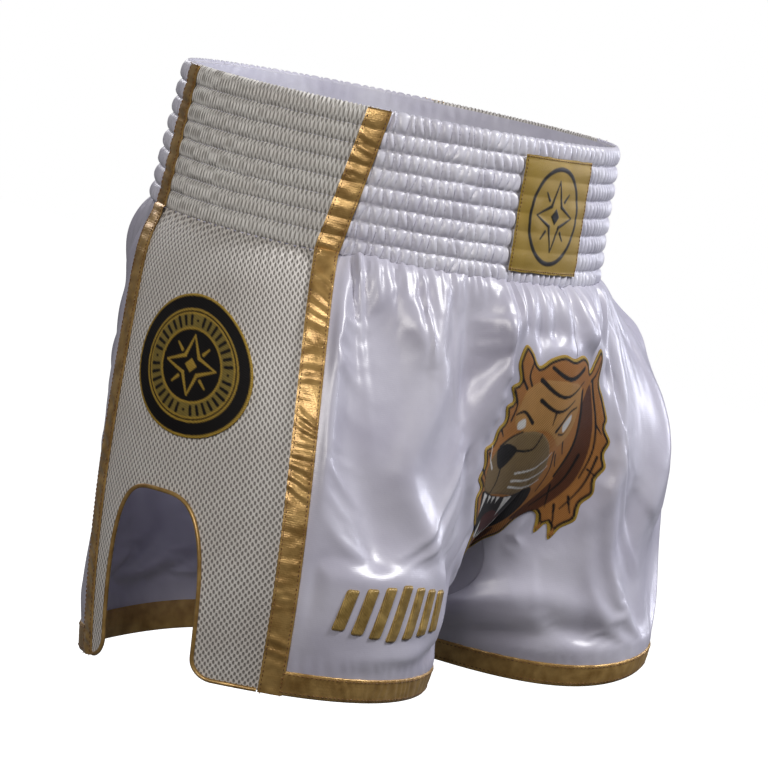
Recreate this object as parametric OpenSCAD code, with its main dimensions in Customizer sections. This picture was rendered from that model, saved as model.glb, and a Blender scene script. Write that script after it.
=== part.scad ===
// Boxing shorts with a shirred elastic waistband, mesh side panels with arched vents,
// satin front and back panels, satin side stripes, hem bindings and sewn-on patches.
// Millimetres. +Z up, front towards -Y, the wearer's right towards -X.
// The origin is the centre of the waist opening, on the plane of the waistband's top edge.

/* [Waistband] */
// Height of the elastic waistband
band_h = 92; // [70:1:110]
// Half width of the waist opening at its top edge
waist_rx = 163; // [120:1:190]
// Half depth of the waist opening at its top edge
waist_ry = 137; // [100:1:170]
// Half width of the waistband at its lower edge
seam_rx = 167; // [120:1:195]
// Half depth of the waistband at its lower edge
seam_ry = 143; // [100:1:175]
// Rows of shirring across the waistband
rows = 8; // [4:1:12]
// How far each row puffs out between two stitch lines
row_puff = 2.6; // [1:0.1:4]
// Thickness of the elastic inside the waistband
elastic_t = 1.2; // [0.6:0.1:2]
// Thickness of the inner facing of the waistband
facing_t = 0.8; // [0.4:0.1:1.5]

/* [Body] */
// Height from the waistband to the hem, measured straight down
body_h = 265; // [200:1:330]
// Sideways place of each leg's centre at the hem
leg_cx = 122; // [90:1:150]
// Fore and aft place of each leg's centre at the hem
leg_cy = -55; // [-90:1:0]
// Half width of a leg opening
leg_rx = 95; // [70:1:120]
// Half depth of a leg opening
leg_ry = 125; // [90:1:150]
// Share of the body height at which the legs part
crotch_s = 0.82; // [0.7:0.01:0.9]
// Fullness gathered into the front panels below the waistband
puff_front = 28; // [0:1:60]
// Fullness at the side panels below the waistband
puff_side = 9; // [0:1:30]
// Fullness gathered into the back panels below the waistband
puff_back = 34; // [0:1:60]
// How much lower the hem hangs at the back of each leg
hem_drop = 26; // [0:1:40]
// How unevenly the two legs hang, from 0 (even) to 1
drape_uneven = 1; // [0:0.05:1]
// Thickness of the cloth panels
cloth_t = 1.2; // [0.6:0.1:2]

/* [Side panels] */
// Height of the vent arch as a share of the body height
vent_top = 0.60; // [0.5:0.01:0.8]
// Front edge of the vent, as a share of the way from centre front to centre back
vent_f = 0.466; // [0.44:0.001:0.49]
// Rear edge of the vent, as a share of the way from centre front to centre back
vent_b = 0.572; // [0.53:0.001:0.59]
// Height of the rounded lower corners beside the vent, as a share of the body height
vent_corner = 0.045; // [0.02:0.005:0.08]
// Width of the piping round the vent
piping_w = 2.6; // [1.5:0.1:5]

/* [Trim] */
// Width of the side stripes
stripe_w = 15; // [8:1:25]
// Height of the hem bindings
binding_h = 15; // [8:1:25]
// Thickness of the stripes and bindings
trim_t = 0.8; // [0.4:0.1:1.5]
// Width of the waistband label
label_w = 70; // [40:1:90]
// Height of the waistband label
label_h = 74; // [40:1:85]
// How far the label sits from centre front, towards the wearer's right
label_shift = 22; // [0:1:40]
// Diameter of the round side patches
patch_d = 90; // [50:1:110]
// Thickness of the sewn-on patches
patch_t = 1.2; // [0.6:0.1:2.5]
// Length of the raised mark above the right hem
mark_w = 92; // [50:1:110]
// Height of the raised mark above the right hem
mark_h = 36; // [20:1:50]

/* [Hidden] */
// Clear gap left between layers sewn over each other
gap = 0.15;
// Step used to measure the direction of the cloth
eps = 0.004;
// Outline of the front patch: depth below the waistband, wearer's right edge, wearer's left edge
front_outline = [
  [36, -51, 37], [50, -58, 54], [69, -55, 65], [90, -57, 72], [111, -67, 71],
  [132, -63, 65], [153, -45, 59], [172, -38, 44], [190, -30, 20], [209, -13, 3]
];

// ---- shape of the cloth ----

function clamp01(x) = min(1, max(0, x));
function smooth(x) = clamp01(x) * clamp01(x) * (3 - 2 * clamp01(x));
function near(t) = max(0, min(t, 1 - t));
function vary(mean, delta, sd, t) =
  mean + sd * delta * drape_uneven * (1 - exp(-pow(near(t) / 0.12, 2)));

// A point of the body: sd -1 is the wearer's right, s runs down from the waistband to the hem,
// t runs from centre front (0) round the side to centre back (1).
function shell(sd, s, t) =
  let(
    a = 180 * t,
    e = near(t),
    cx = vary(leg_cx, -1, sd, t),
    cy = vary(leg_cy, -3, sd, t),
    rx = vary(leg_rx, -7, sd, t),
    ry = vary(leg_ry, 13, sd, t),
    h = vary(body_h, 5, sd, t),
    pf = vary(puff_front, 3, sd, t),
    lift = vary(12, 12, sd, t),
    bow = vary(3.2, 0.8, sd, t),
    k = 1 - exp(-pow(e / 0.15, 1.6)),
    w = pow(clamp01(s / crotch_s), 3.4) * (1 - k) + (1 - pow(clamp01(1 - s), bow)) * k,
    x0 = seam_rx * sin(a) * (1 - w) + (cx - rx * cos(2 * a)) * w,
    y0 = -seam_ry * cos(a) * (1 - w) + (cy - ry * sin(2 * a)) * w,
    open = smooth((s - crotch_s) / (1 - crotch_s)),
    x1 = max(0, x0 - w * (cx - rx) * exp(-pow(e / 0.13, 2)) * (1 - open)),
    seat = 1 + 0.5 * exp(-pow((t - 0.86) / 0.09, 2)) - 0.45 * exp(-pow((t - 1) / 0.07, 2)),
    full = seat * (puff_side + (pf - puff_side) * pow(clamp01(cos(a)), 1.3)
      + (puff_back - puff_side) * pow(clamp01(-cos(a)), 1.3)),
    f = (1 - exp(-s / 0.06)) * (1 - pow(clamp01(s), 2 + 1.5 * t)),
    dent = vary(9, 9, sd, t) * exp(-pow((s - 0.68) / 0.2, 2) - pow((t - 0.2) / 0.14, 2))
  )
  [
    sd * (x1 + pow(max(0, sin(a)), 1.3) * full * f - 0.5 * dent),
    y0 - cos(a) * full * f + 0.85 * dent,
    -band_h - h * s + lift * s * s * exp(-pow((t - 0.34) / 0.15, 2))
      - hem_drop * s * s * exp(-pow((t - 0.72) / 0.18, 2))
  ];

function unit(v) = v / max(0.000001, norm(v));
function raw_out(sd, s, t) =
  let(
    sc = min(1 - eps, max(eps, s)),
    tc = min(1 - eps, max(eps, t)),
    ds = shell(sd, sc + eps, tc) - shell(sd, sc - eps, tc),
    dt = shell(sd, sc, tc + eps) - shell(sd, sc, tc - eps)
  )
  unit(cross(dt, ds) * -sd);

// Outward direction of the cloth. On the centre seams it has no sideways part above the crotch,
// and below it the front and back of each leg share one direction.
function out(sd, s, t) =
  (t > 0.001 && t < 0.999) ? raw_out(sd, s, t)
  : (s <= crotch_s) ? let(n = raw_out(sd, s, t)) unit([0, n[1], n[2]])
  : unit(raw_out(sd, s, 0) + raw_out(sd, s, 1));
function at(sd, s, t, n) = shell(sd, s, t) + out(sd, s, t) * n;

// A point of the waistband's middle surface, h down from the top edge.
function ring(sd, h, t, n) =
  let(
    k = h / band_h,
    a = 180 * t,
    ax = waist_rx + (seam_rx - waist_rx) * k,
    ay = waist_ry + (seam_ry - waist_ry) * k,
    d = unit([sd * ay * sin(a), -ax * cos(a), 0])
  )
  [sd * ax * sin(a), -ay * cos(a), -h] + d * n;

// Where the side stripes run, on the waistband and on the body.
function band_front(h) = 0.325 + 0.032 * h / band_h;
function band_back(h) = 0.665 - 0.005 * h / band_h;
function edge_front(s) = 0.357 + 0.036 * (1 - pow(1 - s, 4));
function edge_back(s) = 0.66 - 0.035 * (1 - pow(1 - s, 8)) - 0.02 * pow(s, 3);

// Length of cloth per unit of t and of s, used to turn millimetres into shares.
function per_t(sd, s, t) =
  norm(shell(sd, s, min(1, t + 0.01)) - shell(sd, s, max(0, t - 0.01))) / (min(1, t + 0.01) - max(0, t - 0.01));
function per_s(sd, s, t) =
  norm(shell(sd, min(1, s + 0.02), t) - shell(sd, max(0, s - 0.02), t)) / (min(1, s + 0.02) - max(0, s - 0.02));

// ---- the diamond gusset at the crotch ----

gus_up = 0.19;
gus_down = 0.105;
gus_w = 0.062;
gus_r = norm([gus_up, gus_down]);
gus_a = atan2(gus_up, gus_down);
function gusset_edge(s) =
  (s <= crotch_s - gus_up || s >= crotch_s + gus_down) ? 0
  : gus_w * sin(2 * (gus_a + asin((s - crotch_s) / gus_r)));

// ---- solid between an outer and an inner grid of points ----

function flat(g) = [for (row = g) for (p = row) p];
function quad(a, b, c, d) = [[a, b, c], [a, c, d]];
function turn(tris, flip) = flip ? [for (f = tris) [f[2], f[1], f[0]]] : tris;
module slab(outer, inner, flip = false) {
  nr = len(outer);
  nc = len(outer[0]);
  m = nr * nc;
  tris = [
    for (r = [0:nr - 2]) for (c = [0:nc - 2])
      let(a = r * nc + c, b = a + nc) each quad(a, b, b + 1, a + 1),
    for (r = [0:nr - 2]) for (c = [0:nc - 2])
      let(a = m + r * nc + c, b = a + nc) each quad(a + 1, b + 1, b, a),
    for (c = [0:nc - 2]) each quad(c, c + 1, m + c + 1, m + c),
    for (c = [0:nc - 2])
      let(a = (nr - 1) * nc + c) each quad(a + 1, a, m + a, m + a + 1),
    for (r = [0:nr - 2])
      let(a = r * nc) each quad(a + nc, a, m + a, m + a + nc),
    for (r = [0:nr - 2])
      let(a = r * nc + nc - 1) each quad(a, a + nc, m + a + nc, m + a)
  ];
  polyhedron(points = concat(flat(outer), flat(inner)), faces = turn(tris, flip), convexity = 8);
}

// A full ring between an outer and an inner surface, closed round the waist.
module hoop(outer, inner) {
  nr = len(outer);
  nc = len(outer[0]);
  m = nr * nc;
  tris = [
    for (r = [0:nr - 2]) for (c = [0:nc - 1])
      let(a = r * nc + c, b = r * nc + (c + 1) % nc) each quad(a, a + nc, b + nc, b),
    for (r = [0:nr - 2]) for (c = [0:nc - 1])
      let(a = m + r * nc + c, b = m + r * nc + (c + 1) % nc) each quad(b, b + nc, a + nc, a),
    for (c = [0:nc - 1])
      let(a = c, b = (c + 1) % nc) each quad(a, b, m + b, m + a),
    for (c = [0:nc - 1])
      let(a = (nr - 1) * nc + c, b = (nr - 1) * nc + (c + 1) % nc) each quad(b, a, m + a, m + b)
  ];
  polyhedron(points = concat(flat(outer), flat(inner)), faces = tris, convexity = 8);
}

// ---- waistband ----

function row_out(i) = (i % 2 == 0) ? 0.5 : 0.5 + row_puff;
function row_h(i) = band_h * i / (2 * rows);

// A shirred section from t0 to t1 on side sd.
module shirred(sd, cols) {
  outer = [for (i = [0:2 * rows]) [for (c = [0:cols])
    let(h = row_h(i), t = band_front(h) + (band_back(h) - band_front(h)) * c / cols)
    ring(sd, h, t, row_out(i))]];
  inner = [for (i = [0:2 * rows]) [for (c = [0:cols])
    let(h = row_h(i), t = band_front(h) + (band_back(h) - band_front(h)) * c / cols)
    ring(sd, h, t, -0.9)]];
  slab(outer, inner, sd > 0);
}

// A shirred section across the centre front (back = 0) or the centre back (back = 1).
function across(h, u, back) =
  back == 0 ? [u < 0 ? -1 : 1, abs(u) * band_front(h)] : [u < 0 ? 1 : -1, 1 - abs(u) * (1 - band_back(h))];
module shirred_across(back, cols) {
  outer = [for (i = [0:2 * rows]) [for (c = [0:cols])
    let(h = row_h(i), p = across(h, -1 + 2 * c / cols, back)) ring(p[0], h, p[1], row_out(i))]];
  inner = [for (i = [0:2 * rows]) [for (c = [0:cols])
    let(h = row_h(i), p = across(h, -1 + 2 * c / cols, back)) ring(p[0], h, p[1], -0.9)]];
  slab(outer, inner, true);
}

module waist_tube(n0, n1, seg) {
  hoop(
    [for (h = [1, band_h - 1]) [for (c = [0:seg - 1]) ring(-1, h, 2 * c / seg, n1)]],
    [for (h = [1, band_h - 1]) [for (c = [0:seg - 1]) ring(-1, h, 2 * c / seg, n0)]]
  );
}

module waistband_front() {
  color([0.93, 0.93, 0.96]) shirred_across(0, 24);
}

module waistband_back() {
  color([0.93, 0.93, 0.96]) shirred_across(1, 24);
}

module waistband_side_right() {
  color([0.88, 0.87, 0.85]) shirred(-1, 10);
}

module waistband_side_left() {
  color([0.88, 0.87, 0.85]) shirred(1, 10);
}

module waist_elastic() {
  color([0.9, 0.9, 0.88]) waist_tube(-1.1 - elastic_t, -1.1, 64);
}

module waist_facing() {
  color([0.94, 0.94, 0.96]) waist_tube(-1.3 - elastic_t - facing_t, -1.3 - elastic_t, 64);
}

// ---- body panels ----

// Rows lie closer together beside the gusset.
panel_rows = [
  0, 0.03, 0.07, 0.13, 0.20, 0.28, 0.36, 0.44, 0.52, 0.58, 0.63, 0.67, 0.71, 0.75,
  0.785, 0.82, 0.845, 0.87, 0.895, 0.925, 0.96, 1
];
module front_panel(sd, nc = 12) {
  g = [for (s = panel_rows) let(ta = gusset_edge(s), tb = edge_front(s))
    [for (c = [0:nc]) [s, ta + (tb - ta) * c / nc]]];
  slab(
    [for (row = g) [for (p = row) at(sd, p[0], p[1], 0)]],
    [for (row = g) [for (p = row) at(sd, p[0], p[1], -cloth_t)]],
    sd > 0
  );
}

module back_panel(sd, nc = 12) {
  g = [for (s = panel_rows) let(ta = edge_back(s), tb = 1 - gusset_edge(s))
    [for (c = [0:nc]) [s, ta + (tb - ta) * c / nc]]];
  slab(
    [for (row = g) [for (p = row) at(sd, p[0], p[1], 0)]],
    [for (row = g) [for (p = row) at(sd, p[0], p[1], -cloth_t)]],
    sd > 0
  );
}

module front_panel_right() {
  color([0.93, 0.93, 0.96]) front_panel(-1);
}

module front_panel_left() {
  color([0.93, 0.93, 0.96]) front_panel(1);
}

module back_panel_right() {
  color([0.93, 0.93, 0.96]) back_panel(-1);
}

module back_panel_left() {
  color([0.93, 0.93, 0.96]) back_panel(1);
}

// Lower edge of a side panel at t: the hem, two rounded corners and the vent arch between them.
vent_mid = (vent_f + vent_b) / 2;
vent_half = (vent_b - vent_f) / 2;
corner_t = 0.020;
function side_edge(t) =
  (abs(t - vent_mid) >= vent_half + corner_t) ? 1
  : (abs(t - vent_mid) > vent_half)
    ? 1 - vent_corner * (1 - sqrt(1 - pow(1 - (abs(t - vent_mid) - vent_half) / corner_t, 2)))
  : 1 - vent_corner - (1 - vent_corner - vent_top) * pow(1 - pow(abs(t - vent_mid) / vent_half, 3.4), 1 / 3.4);

// Columns of a side panel, drawn closer together where the edge is steep.
arch_cols = 12;
function side_cols() = [
  edge_front(1),
  vent_mid - vent_half - corner_t,
  vent_mid - vent_half - corner_t * 0.5,
  for (i = [0:arch_cols]) vent_mid - vent_half * cos(180 * i / arch_cols),
  vent_mid + vent_half + corner_t * 0.5,
  vent_mid + vent_half + corner_t,
  edge_back(1)
];

module side_panel(sd, nr = 14) {
  cols = side_cols();
  g = [for (r = [0:nr]) [for (t = cols)
    let(
      s = side_edge(t) * r / nr,
      u = (t - edge_front(1)) / (edge_back(1) - edge_front(1))
    )
    [s, edge_front(s) + (edge_back(s) - edge_front(s)) * u]]];
  slab(
    [for (row = g) [for (p = row) at(sd, p[0], p[1], 0)]],
    [for (row = g) [for (p = row) at(sd, p[0], p[1], -cloth_t)]],
    sd > 0
  );
}

module side_panel_right() {
  color([0.86, 0.85, 0.83]) side_panel(-1);
}

module side_panel_left() {
  color([0.86, 0.85, 0.83]) side_panel(1);
}

// The gusset is a fan of four sectors round the point where the legs part.
function gusset_st(a, rho) =
  let(q = floor(a / 90), b = a - 90 * q, up = (q % 2 == 0) ? b : 90 - b)
  [crotch_s + rho * 0.985 * (-gus_up * cos(up) + gus_down * sin(up)), rho * 0.985 * gus_w * sin(2 * up)];
function gusset_at(a, rho, n) =
  let(
    q = floor(a / 90) % 4,
    st = gusset_st(a, rho),
    sd = (q < 2) ? -1 : 1,
    t = (q == 0 || q == 3) ? st[1] : 1 - st[1],
    s = st[0],
    d = (rho < 0.001) ? [0, 0, -1] : out(sd, s, t)
  )
  shell(sd, s, t) + d * n;
module crotch_gusset() {
  rings = 4;
  seg = 32;
  function layer(n) = [
    gusset_at(0, 0, n),
    for (j = [1:rings]) for (i = [0:seg - 1]) gusset_at(360 * i / seg, j / rings, n)
  ];
  m = 1 + rings * seg;
  tris = [
    for (i = [0:seg - 1]) [0, 1 + (i + 1) % seg, 1 + i],
    for (j = [1:rings - 1]) for (i = [0:seg - 1])
      let(a = 1 + (j - 1) * seg + i, b = 1 + (j - 1) * seg + (i + 1) % seg)
      each quad(a, b, b + seg, a + seg),
    for (i = [0:seg - 1]) [m, m + 1 + i, m + 1 + (i + 1) % seg],
    for (j = [1:rings - 1]) for (i = [0:seg - 1])
      let(a = m + 1 + (j - 1) * seg + i, b = m + 1 + (j - 1) * seg + (i + 1) % seg)
      each quad(b, a, a + seg, b + seg),
    for (i = [0:seg - 1])
      let(a = 1 + (rings - 1) * seg + i, b = 1 + (rings - 1) * seg + (i + 1) % seg)
      each quad(a, b, m + b, m + a)
  ];
  color([0.93, 0.93, 0.96])
    polyhedron(points = concat(layer(0), layer(-cloth_t)), faces = tris, convexity = 8);
}

// ---- stripes, bindings and piping ----

band_over = 0.5 + row_puff + gap;
function stripe_row_band(sd, h, tc, n) =
  let(w = stripe_w / 2 / (norm(ring(sd, h, tc + 0.01, 0) - ring(sd, h, tc - 0.01, 0)) / 0.02))
  [for (k = [-1, 0, 1]) ring(sd, h, tc + k * w, n)];
function stripe_row_body(sd, s, tc, n) =
  let(w = stripe_w / 2 / per_t(sd, s, tc))
  [for (k = [-1, 0, 1]) at(sd, s, tc + k * w, n)];
module stripe(sd, front) {
  nb = 6;
  ns = 26;
  function tb(h) = front ? band_front(h) : band_back(h);
  function ts(s) = front ? edge_front(s) : edge_back(s);
  function rows_at(n) = [
    for (i = [0:nb]) let(h = (band_h - 2) * i / nb) stripe_row_band(sd, h, tb(h), band_over + n),
    for (i = [0:ns]) let(s = 0.012 + 0.988 * i / ns) stripe_row_body(sd, s, ts(s), gap + n)
  ];
  slab(rows_at(trim_t), rows_at(0), sd > 0);
}

module front_stripe_right() {
  color([0.66, 0.49, 0.27]) stripe(-1, true);
}

module front_stripe_left() {
  color([0.66, 0.49, 0.27]) stripe(1, true);
}

module back_stripe_right() {
  color([0.66, 0.49, 0.27]) stripe(-1, false);
}

module back_stripe_left() {
  color([0.66, 0.49, 0.27]) stripe(1, false);
}

// A binding runs from the back stripe round the inside of the leg to the front stripe.
module hem_binding(sd, cols = 44) {
  function wrap(u, s) =
    let(
      wf = (stripe_w / 2 + 0.3) / per_t(sd, s, edge_front(s)),
      wb = (stripe_w / 2 + 0.3) / per_t(sd, s, edge_back(s)),
      a = edge_back(s) + wb,
      b = 1 + edge_front(s) - wf,
      t = a + (b - a) * u
    )
    t > 1 ? t - 1 : t;
  sb = 1 - binding_h / body_h;
  function face(n) = [for (s = [sb, (1 + sb) / 2, 1]) [for (c = [0:cols]) at(sd, s, wrap(c / cols, s), n)]];
  slab(face(gap + trim_t), face(gap), sd > 0);
}

module hem_binding_right() {
  color([0.66, 0.49, 0.27]) hem_binding(-1);
}

module hem_binding_left() {
  color([0.66, 0.49, 0.27]) hem_binding(1);
}

// The piping follows the side panel's lower edge, just outside the cloth.
function side_t(t, s) =
  let(u = (t - edge_front(1)) / (edge_back(1) - edge_front(1)))
  edge_front(s) + (edge_back(s) - edge_front(s)) * u;
module vent_piping(sd) {
  wf = (stripe_w / 2 + 0.4) / per_t(sd, 1, edge_front(1));
  wb = (stripe_w / 2 + 0.4) / per_t(sd, 1, edge_back(1));
  a = edge_front(1) + wf;
  b = edge_back(1) - wb;
  path = [
    a,
    vent_mid - vent_half - corner_t,
    vent_mid - vent_half - corner_t * 0.7,
    vent_mid - vent_half - corner_t * 0.35,
    vent_mid - vent_half - corner_t * 0.1,
    for (i = [0:20]) vent_mid - vent_half * cos(180 * i / 20),
    vent_mid + vent_half + corner_t * 0.1,
    vent_mid + vent_half + corner_t * 0.35,
    vent_mid + vent_half + corner_t * 0.7,
    vent_mid + vent_half + corner_t,
    b
  ];
  np = len(path);
  function pt(i, n) = let(t = path[i], s = side_edge(t)) at(sd, s, side_t(t, s), n);
  function along(i) = unit(pt(min(np - 1, i + 1), 0) - pt(max(0, i - 1), 0));
  function across_at(i) =
    let(t = path[i], s = side_edge(t)) unit(cross(along(i), out(sd, s, side_t(t, s))) * -sd);
  function edge(i, n, k) = pt(i, n) + across_at(i) * k;
  slab(
    [for (k = [-piping_w, 0]) [for (i = [0:np - 1]) edge(i, gap + trim_t, k)]],
    [for (k = [-piping_w, 0]) [for (i = [0:np - 1]) edge(i, gap, k)]],
    sd > 0
  );
}

module vent_piping_right() {
  color([0.66, 0.49, 0.27]) vent_piping(-1);
}

module vent_piping_left() {
  color([0.66, 0.49, 0.27]) vent_piping(1);
}

// ---- label, patches and mark ----

module waist_label() {
  cols = 10;
  per = norm(ring(1, band_h / 2, 0.03, 0) - ring(1, band_h / 2, 0, 0)) / 0.03;
  h0 = (band_h - label_h) / 2;
  function face(n) = [for (i = [0:4]) [for (c = [0:cols])
    let(u = (-0.5 + c / cols) * label_w - label_shift)
    ring(u < 0 ? -1 : 1, h0 + label_h * i / 4, abs(u) / per, n)]];
  color([0.55, 0.43, 0.2]) slab(face(band_over + trim_t), face(band_over), true);
}

module round_patch(sd) {
  sc = 0.315;
  tc = 0.514;
  ls = per_s(sd, sc, tc);
  lt = per_t(sd, sc, tc);
  rings = 3;
  seg = 32;
  function p(r, a, n) = at(sd, sc + r * sin(a) / ls, tc + r * cos(a) / lt, n);
  function layer(n) = [
    p(0, 0, n),
    for (j = [1:rings]) for (i = [0:seg - 1]) p(patch_d / 2 * j / rings, 360 * i / seg, n)
  ];
  m = 1 + rings * seg;
  tris = [
    for (i = [0:seg - 1]) [0, 1 + i, 1 + (i + 1) % seg],
    for (j = [1:rings - 1]) for (i = [0:seg - 1])
      let(a = 1 + (j - 1) * seg + i, b = 1 + (j - 1) * seg + (i + 1) % seg)
      each quad(b, a, a + seg, b + seg),
    for (i = [0:seg - 1]) [m, m + 1 + (i + 1) % seg, m + 1 + i],
    for (j = [1:rings - 1]) for (i = [0:seg - 1])
      let(a = m + 1 + (j - 1) * seg + i, b = m + 1 + (j - 1) * seg + (i + 1) % seg)
      each quad(a, b, b + seg, a + seg),
    for (i = [0:seg - 1])
      let(a = 1 + (rings - 1) * seg + i, b = 1 + (rings - 1) * seg + (i + 1) % seg)
      each quad(b, a, m + a, m + b)
  ];
  polyhedron(
    points = concat(layer(gap + patch_t), layer(gap)),
    faces = turn(tris, sd < 0),
    convexity = 8
  );
}

module round_patch_right() {
  color([0.08, 0.08, 0.09]) round_patch(-1);
}

module round_patch_left() {
  color([0.08, 0.08, 0.09]) round_patch(1);
}

// The front patch lies over the centre seam, so its columns cross from one side to the other.
function depth_s(v) = v / (body_h * 1.06);
function across_front(u, s, n) =
  let(sd = u < 0 ? -1 : 1, l = norm(shell(sd, s, 0.06) - shell(sd, s, 0)) / 0.06)
  at(sd, s, abs(u) / l, n);
module front_patch() {
  cols = 10;
  function face(n) = [for (o = front_outline) [for (c = [0:cols])
    across_front(o[1] + (o[2] - o[1]) * c / cols, depth_s(o[0]), n)]];
  color([0.5, 0.36, 0.2]) slab(face(gap + patch_t), face(gap), true);
}

// Slanted bars in relief, each its own raised block of stitching.
module leg_mark() {
  bars = 7;
  s0 = 0.78;
  t0 = 0.278;
  ls = per_s(-1, s0, t0);
  lt = per_t(-1, s0, t0);
  color([0.66, 0.58, 0.36])
    for (b = [0:bars - 1]) {
      x0 = -mark_w / 2 + mark_w * (b + 0.12) / bars;
      w = mark_w / bars * 0.62;
      h = mark_h * (1 - 0.09 * abs(b - 3));
      face = [for (n = [gap + 1.6, gap]) [for (i = [0:3]) [for (c = [0:1])
        let(v = -h / 2 + h * i / 3, u = x0 + w * c + 0.28 * v)
        at(-1, s0 + v / ls, t0 + u / lt, n)]]];
      slab(face[0], face[1], false);
    }
}

waistband_front();
waistband_back();
waistband_side_right();
waistband_side_left();
waist_elastic();
waist_facing();
front_panel_right();
front_panel_left();
back_panel_right();
back_panel_left();
side_panel_right();
side_panel_left();
crotch_gusset();
front_stripe_right();
front_stripe_left();
back_stripe_right();
back_stripe_left();
hem_binding_right();
hem_binding_left();
vent_piping_right();
vent_piping_left();
waist_label();
round_patch_right();
round_patch_left();
front_patch();
leg_mark();
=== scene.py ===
"""Boxing shorts: the visible cloth, trims and embroidery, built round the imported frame.

Millimetres inside the classes, metres in the meshes. +Z up, front towards -Y, the wearer's right
towards -X, and the origin in the centre of the waist opening.
"""

import logging
import math
from collections.abc import Callable, Sequence
from dataclasses import dataclass
from enum import Enum

import bpy
import numpy as np
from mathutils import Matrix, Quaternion, Vector


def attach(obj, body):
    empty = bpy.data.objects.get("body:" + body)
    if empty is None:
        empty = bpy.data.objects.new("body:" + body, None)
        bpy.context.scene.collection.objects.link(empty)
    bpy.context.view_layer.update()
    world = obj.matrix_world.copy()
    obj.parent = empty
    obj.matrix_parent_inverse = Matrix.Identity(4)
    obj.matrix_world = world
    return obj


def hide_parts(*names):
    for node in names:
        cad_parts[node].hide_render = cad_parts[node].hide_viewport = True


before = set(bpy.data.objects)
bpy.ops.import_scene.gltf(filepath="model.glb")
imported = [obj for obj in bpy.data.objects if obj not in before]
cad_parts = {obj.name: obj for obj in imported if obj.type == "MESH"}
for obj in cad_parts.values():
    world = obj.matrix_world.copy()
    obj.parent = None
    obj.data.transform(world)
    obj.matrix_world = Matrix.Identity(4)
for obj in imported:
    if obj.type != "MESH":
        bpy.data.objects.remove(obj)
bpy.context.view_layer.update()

log = logging.getLogger("shorts")
Array = np.ndarray
Piece = bpy.types.Object
Material = bpy.types.Material
Tree = bpy.types.NodeTree
Node = bpy.types.Node
Socket = bpy.types.NodeSocket
MM = 0.001
BODY = "root"
PREFIX = "sewn_"


# ---- small helpers ----


def linear(code: str, alpha: float = 1.0) -> tuple[float, float, float, float]:
    """Turns an sRGB colour code into the linear colour that a shader takes.

    Args:
        code: six hex digits.
        alpha: the fourth number of the result.

    Returns:
        Red, green, blue and alpha.
    """
    parts = [int(code[i : i + 2], 16) / 255 for i in (0, 2, 4)]
    r, g, b = [c / 12.92 if c <= 0.04045 else ((c + 0.055) / 1.055) ** 2.4 for c in parts]
    return r, g, b, alpha


def unit(v: Array) -> Array:
    """Vectors of length one, along the last axis."""
    return v / np.maximum(1e-9, np.linalg.norm(v, axis=-1, keepdims=True))


def ease(x: Array) -> Array:
    """A smooth step from 0 to 1."""
    x = np.clip(x, 0, 1)
    return x * x * (3 - 2 * x)


def bell(x: Array, width: float) -> Array:
    """A soft bump of height one round zero."""
    return np.exp(-((x / width) ** 2))


def soft_noise(x: Array, y: Array, seed: int) -> Array:
    """Smooth noise between -1 and 1 with features one unit apart.

    Args:
        x: first coordinate.
        y: second coordinate.
        seed: picks the random table.

    Returns:
        The noise, shaped as x and y together.
    """
    size = 97
    table = np.random.default_rng(seed).uniform(-1, 1, (size, size))
    x, y = np.broadcast_arrays(np.asarray(x, float), np.asarray(y, float))
    i, j = np.floor(x).astype(int), np.floor(y).astype(int)
    fx, fy = ease(x - i), ease(y - j)
    i, j = i % size, j % size
    i2, j2 = (i + 1) % size, (j + 1) % size
    top = table[i, j] * (1 - fx) + table[i2, j] * fx
    low = table[i, j2] * (1 - fx) + table[i2, j2] * fx
    return top * (1 - fy) + low * fy


class Side(Enum):
    """The wearer's two sides, with the sign of X on each."""

    RIGHT = -1
    LEFT = 1

    @property
    def word(self) -> str:
        """The side's name as it ends a piece's name."""
        return self.name.lower()


# ---- the shape of the garment ----


@dataclass(frozen=True)
class Skewed:
    """A size of the form: its mean, and how much more the wearer's left leg has and the right less."""

    mean: float
    skew: float = 0.0


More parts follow.
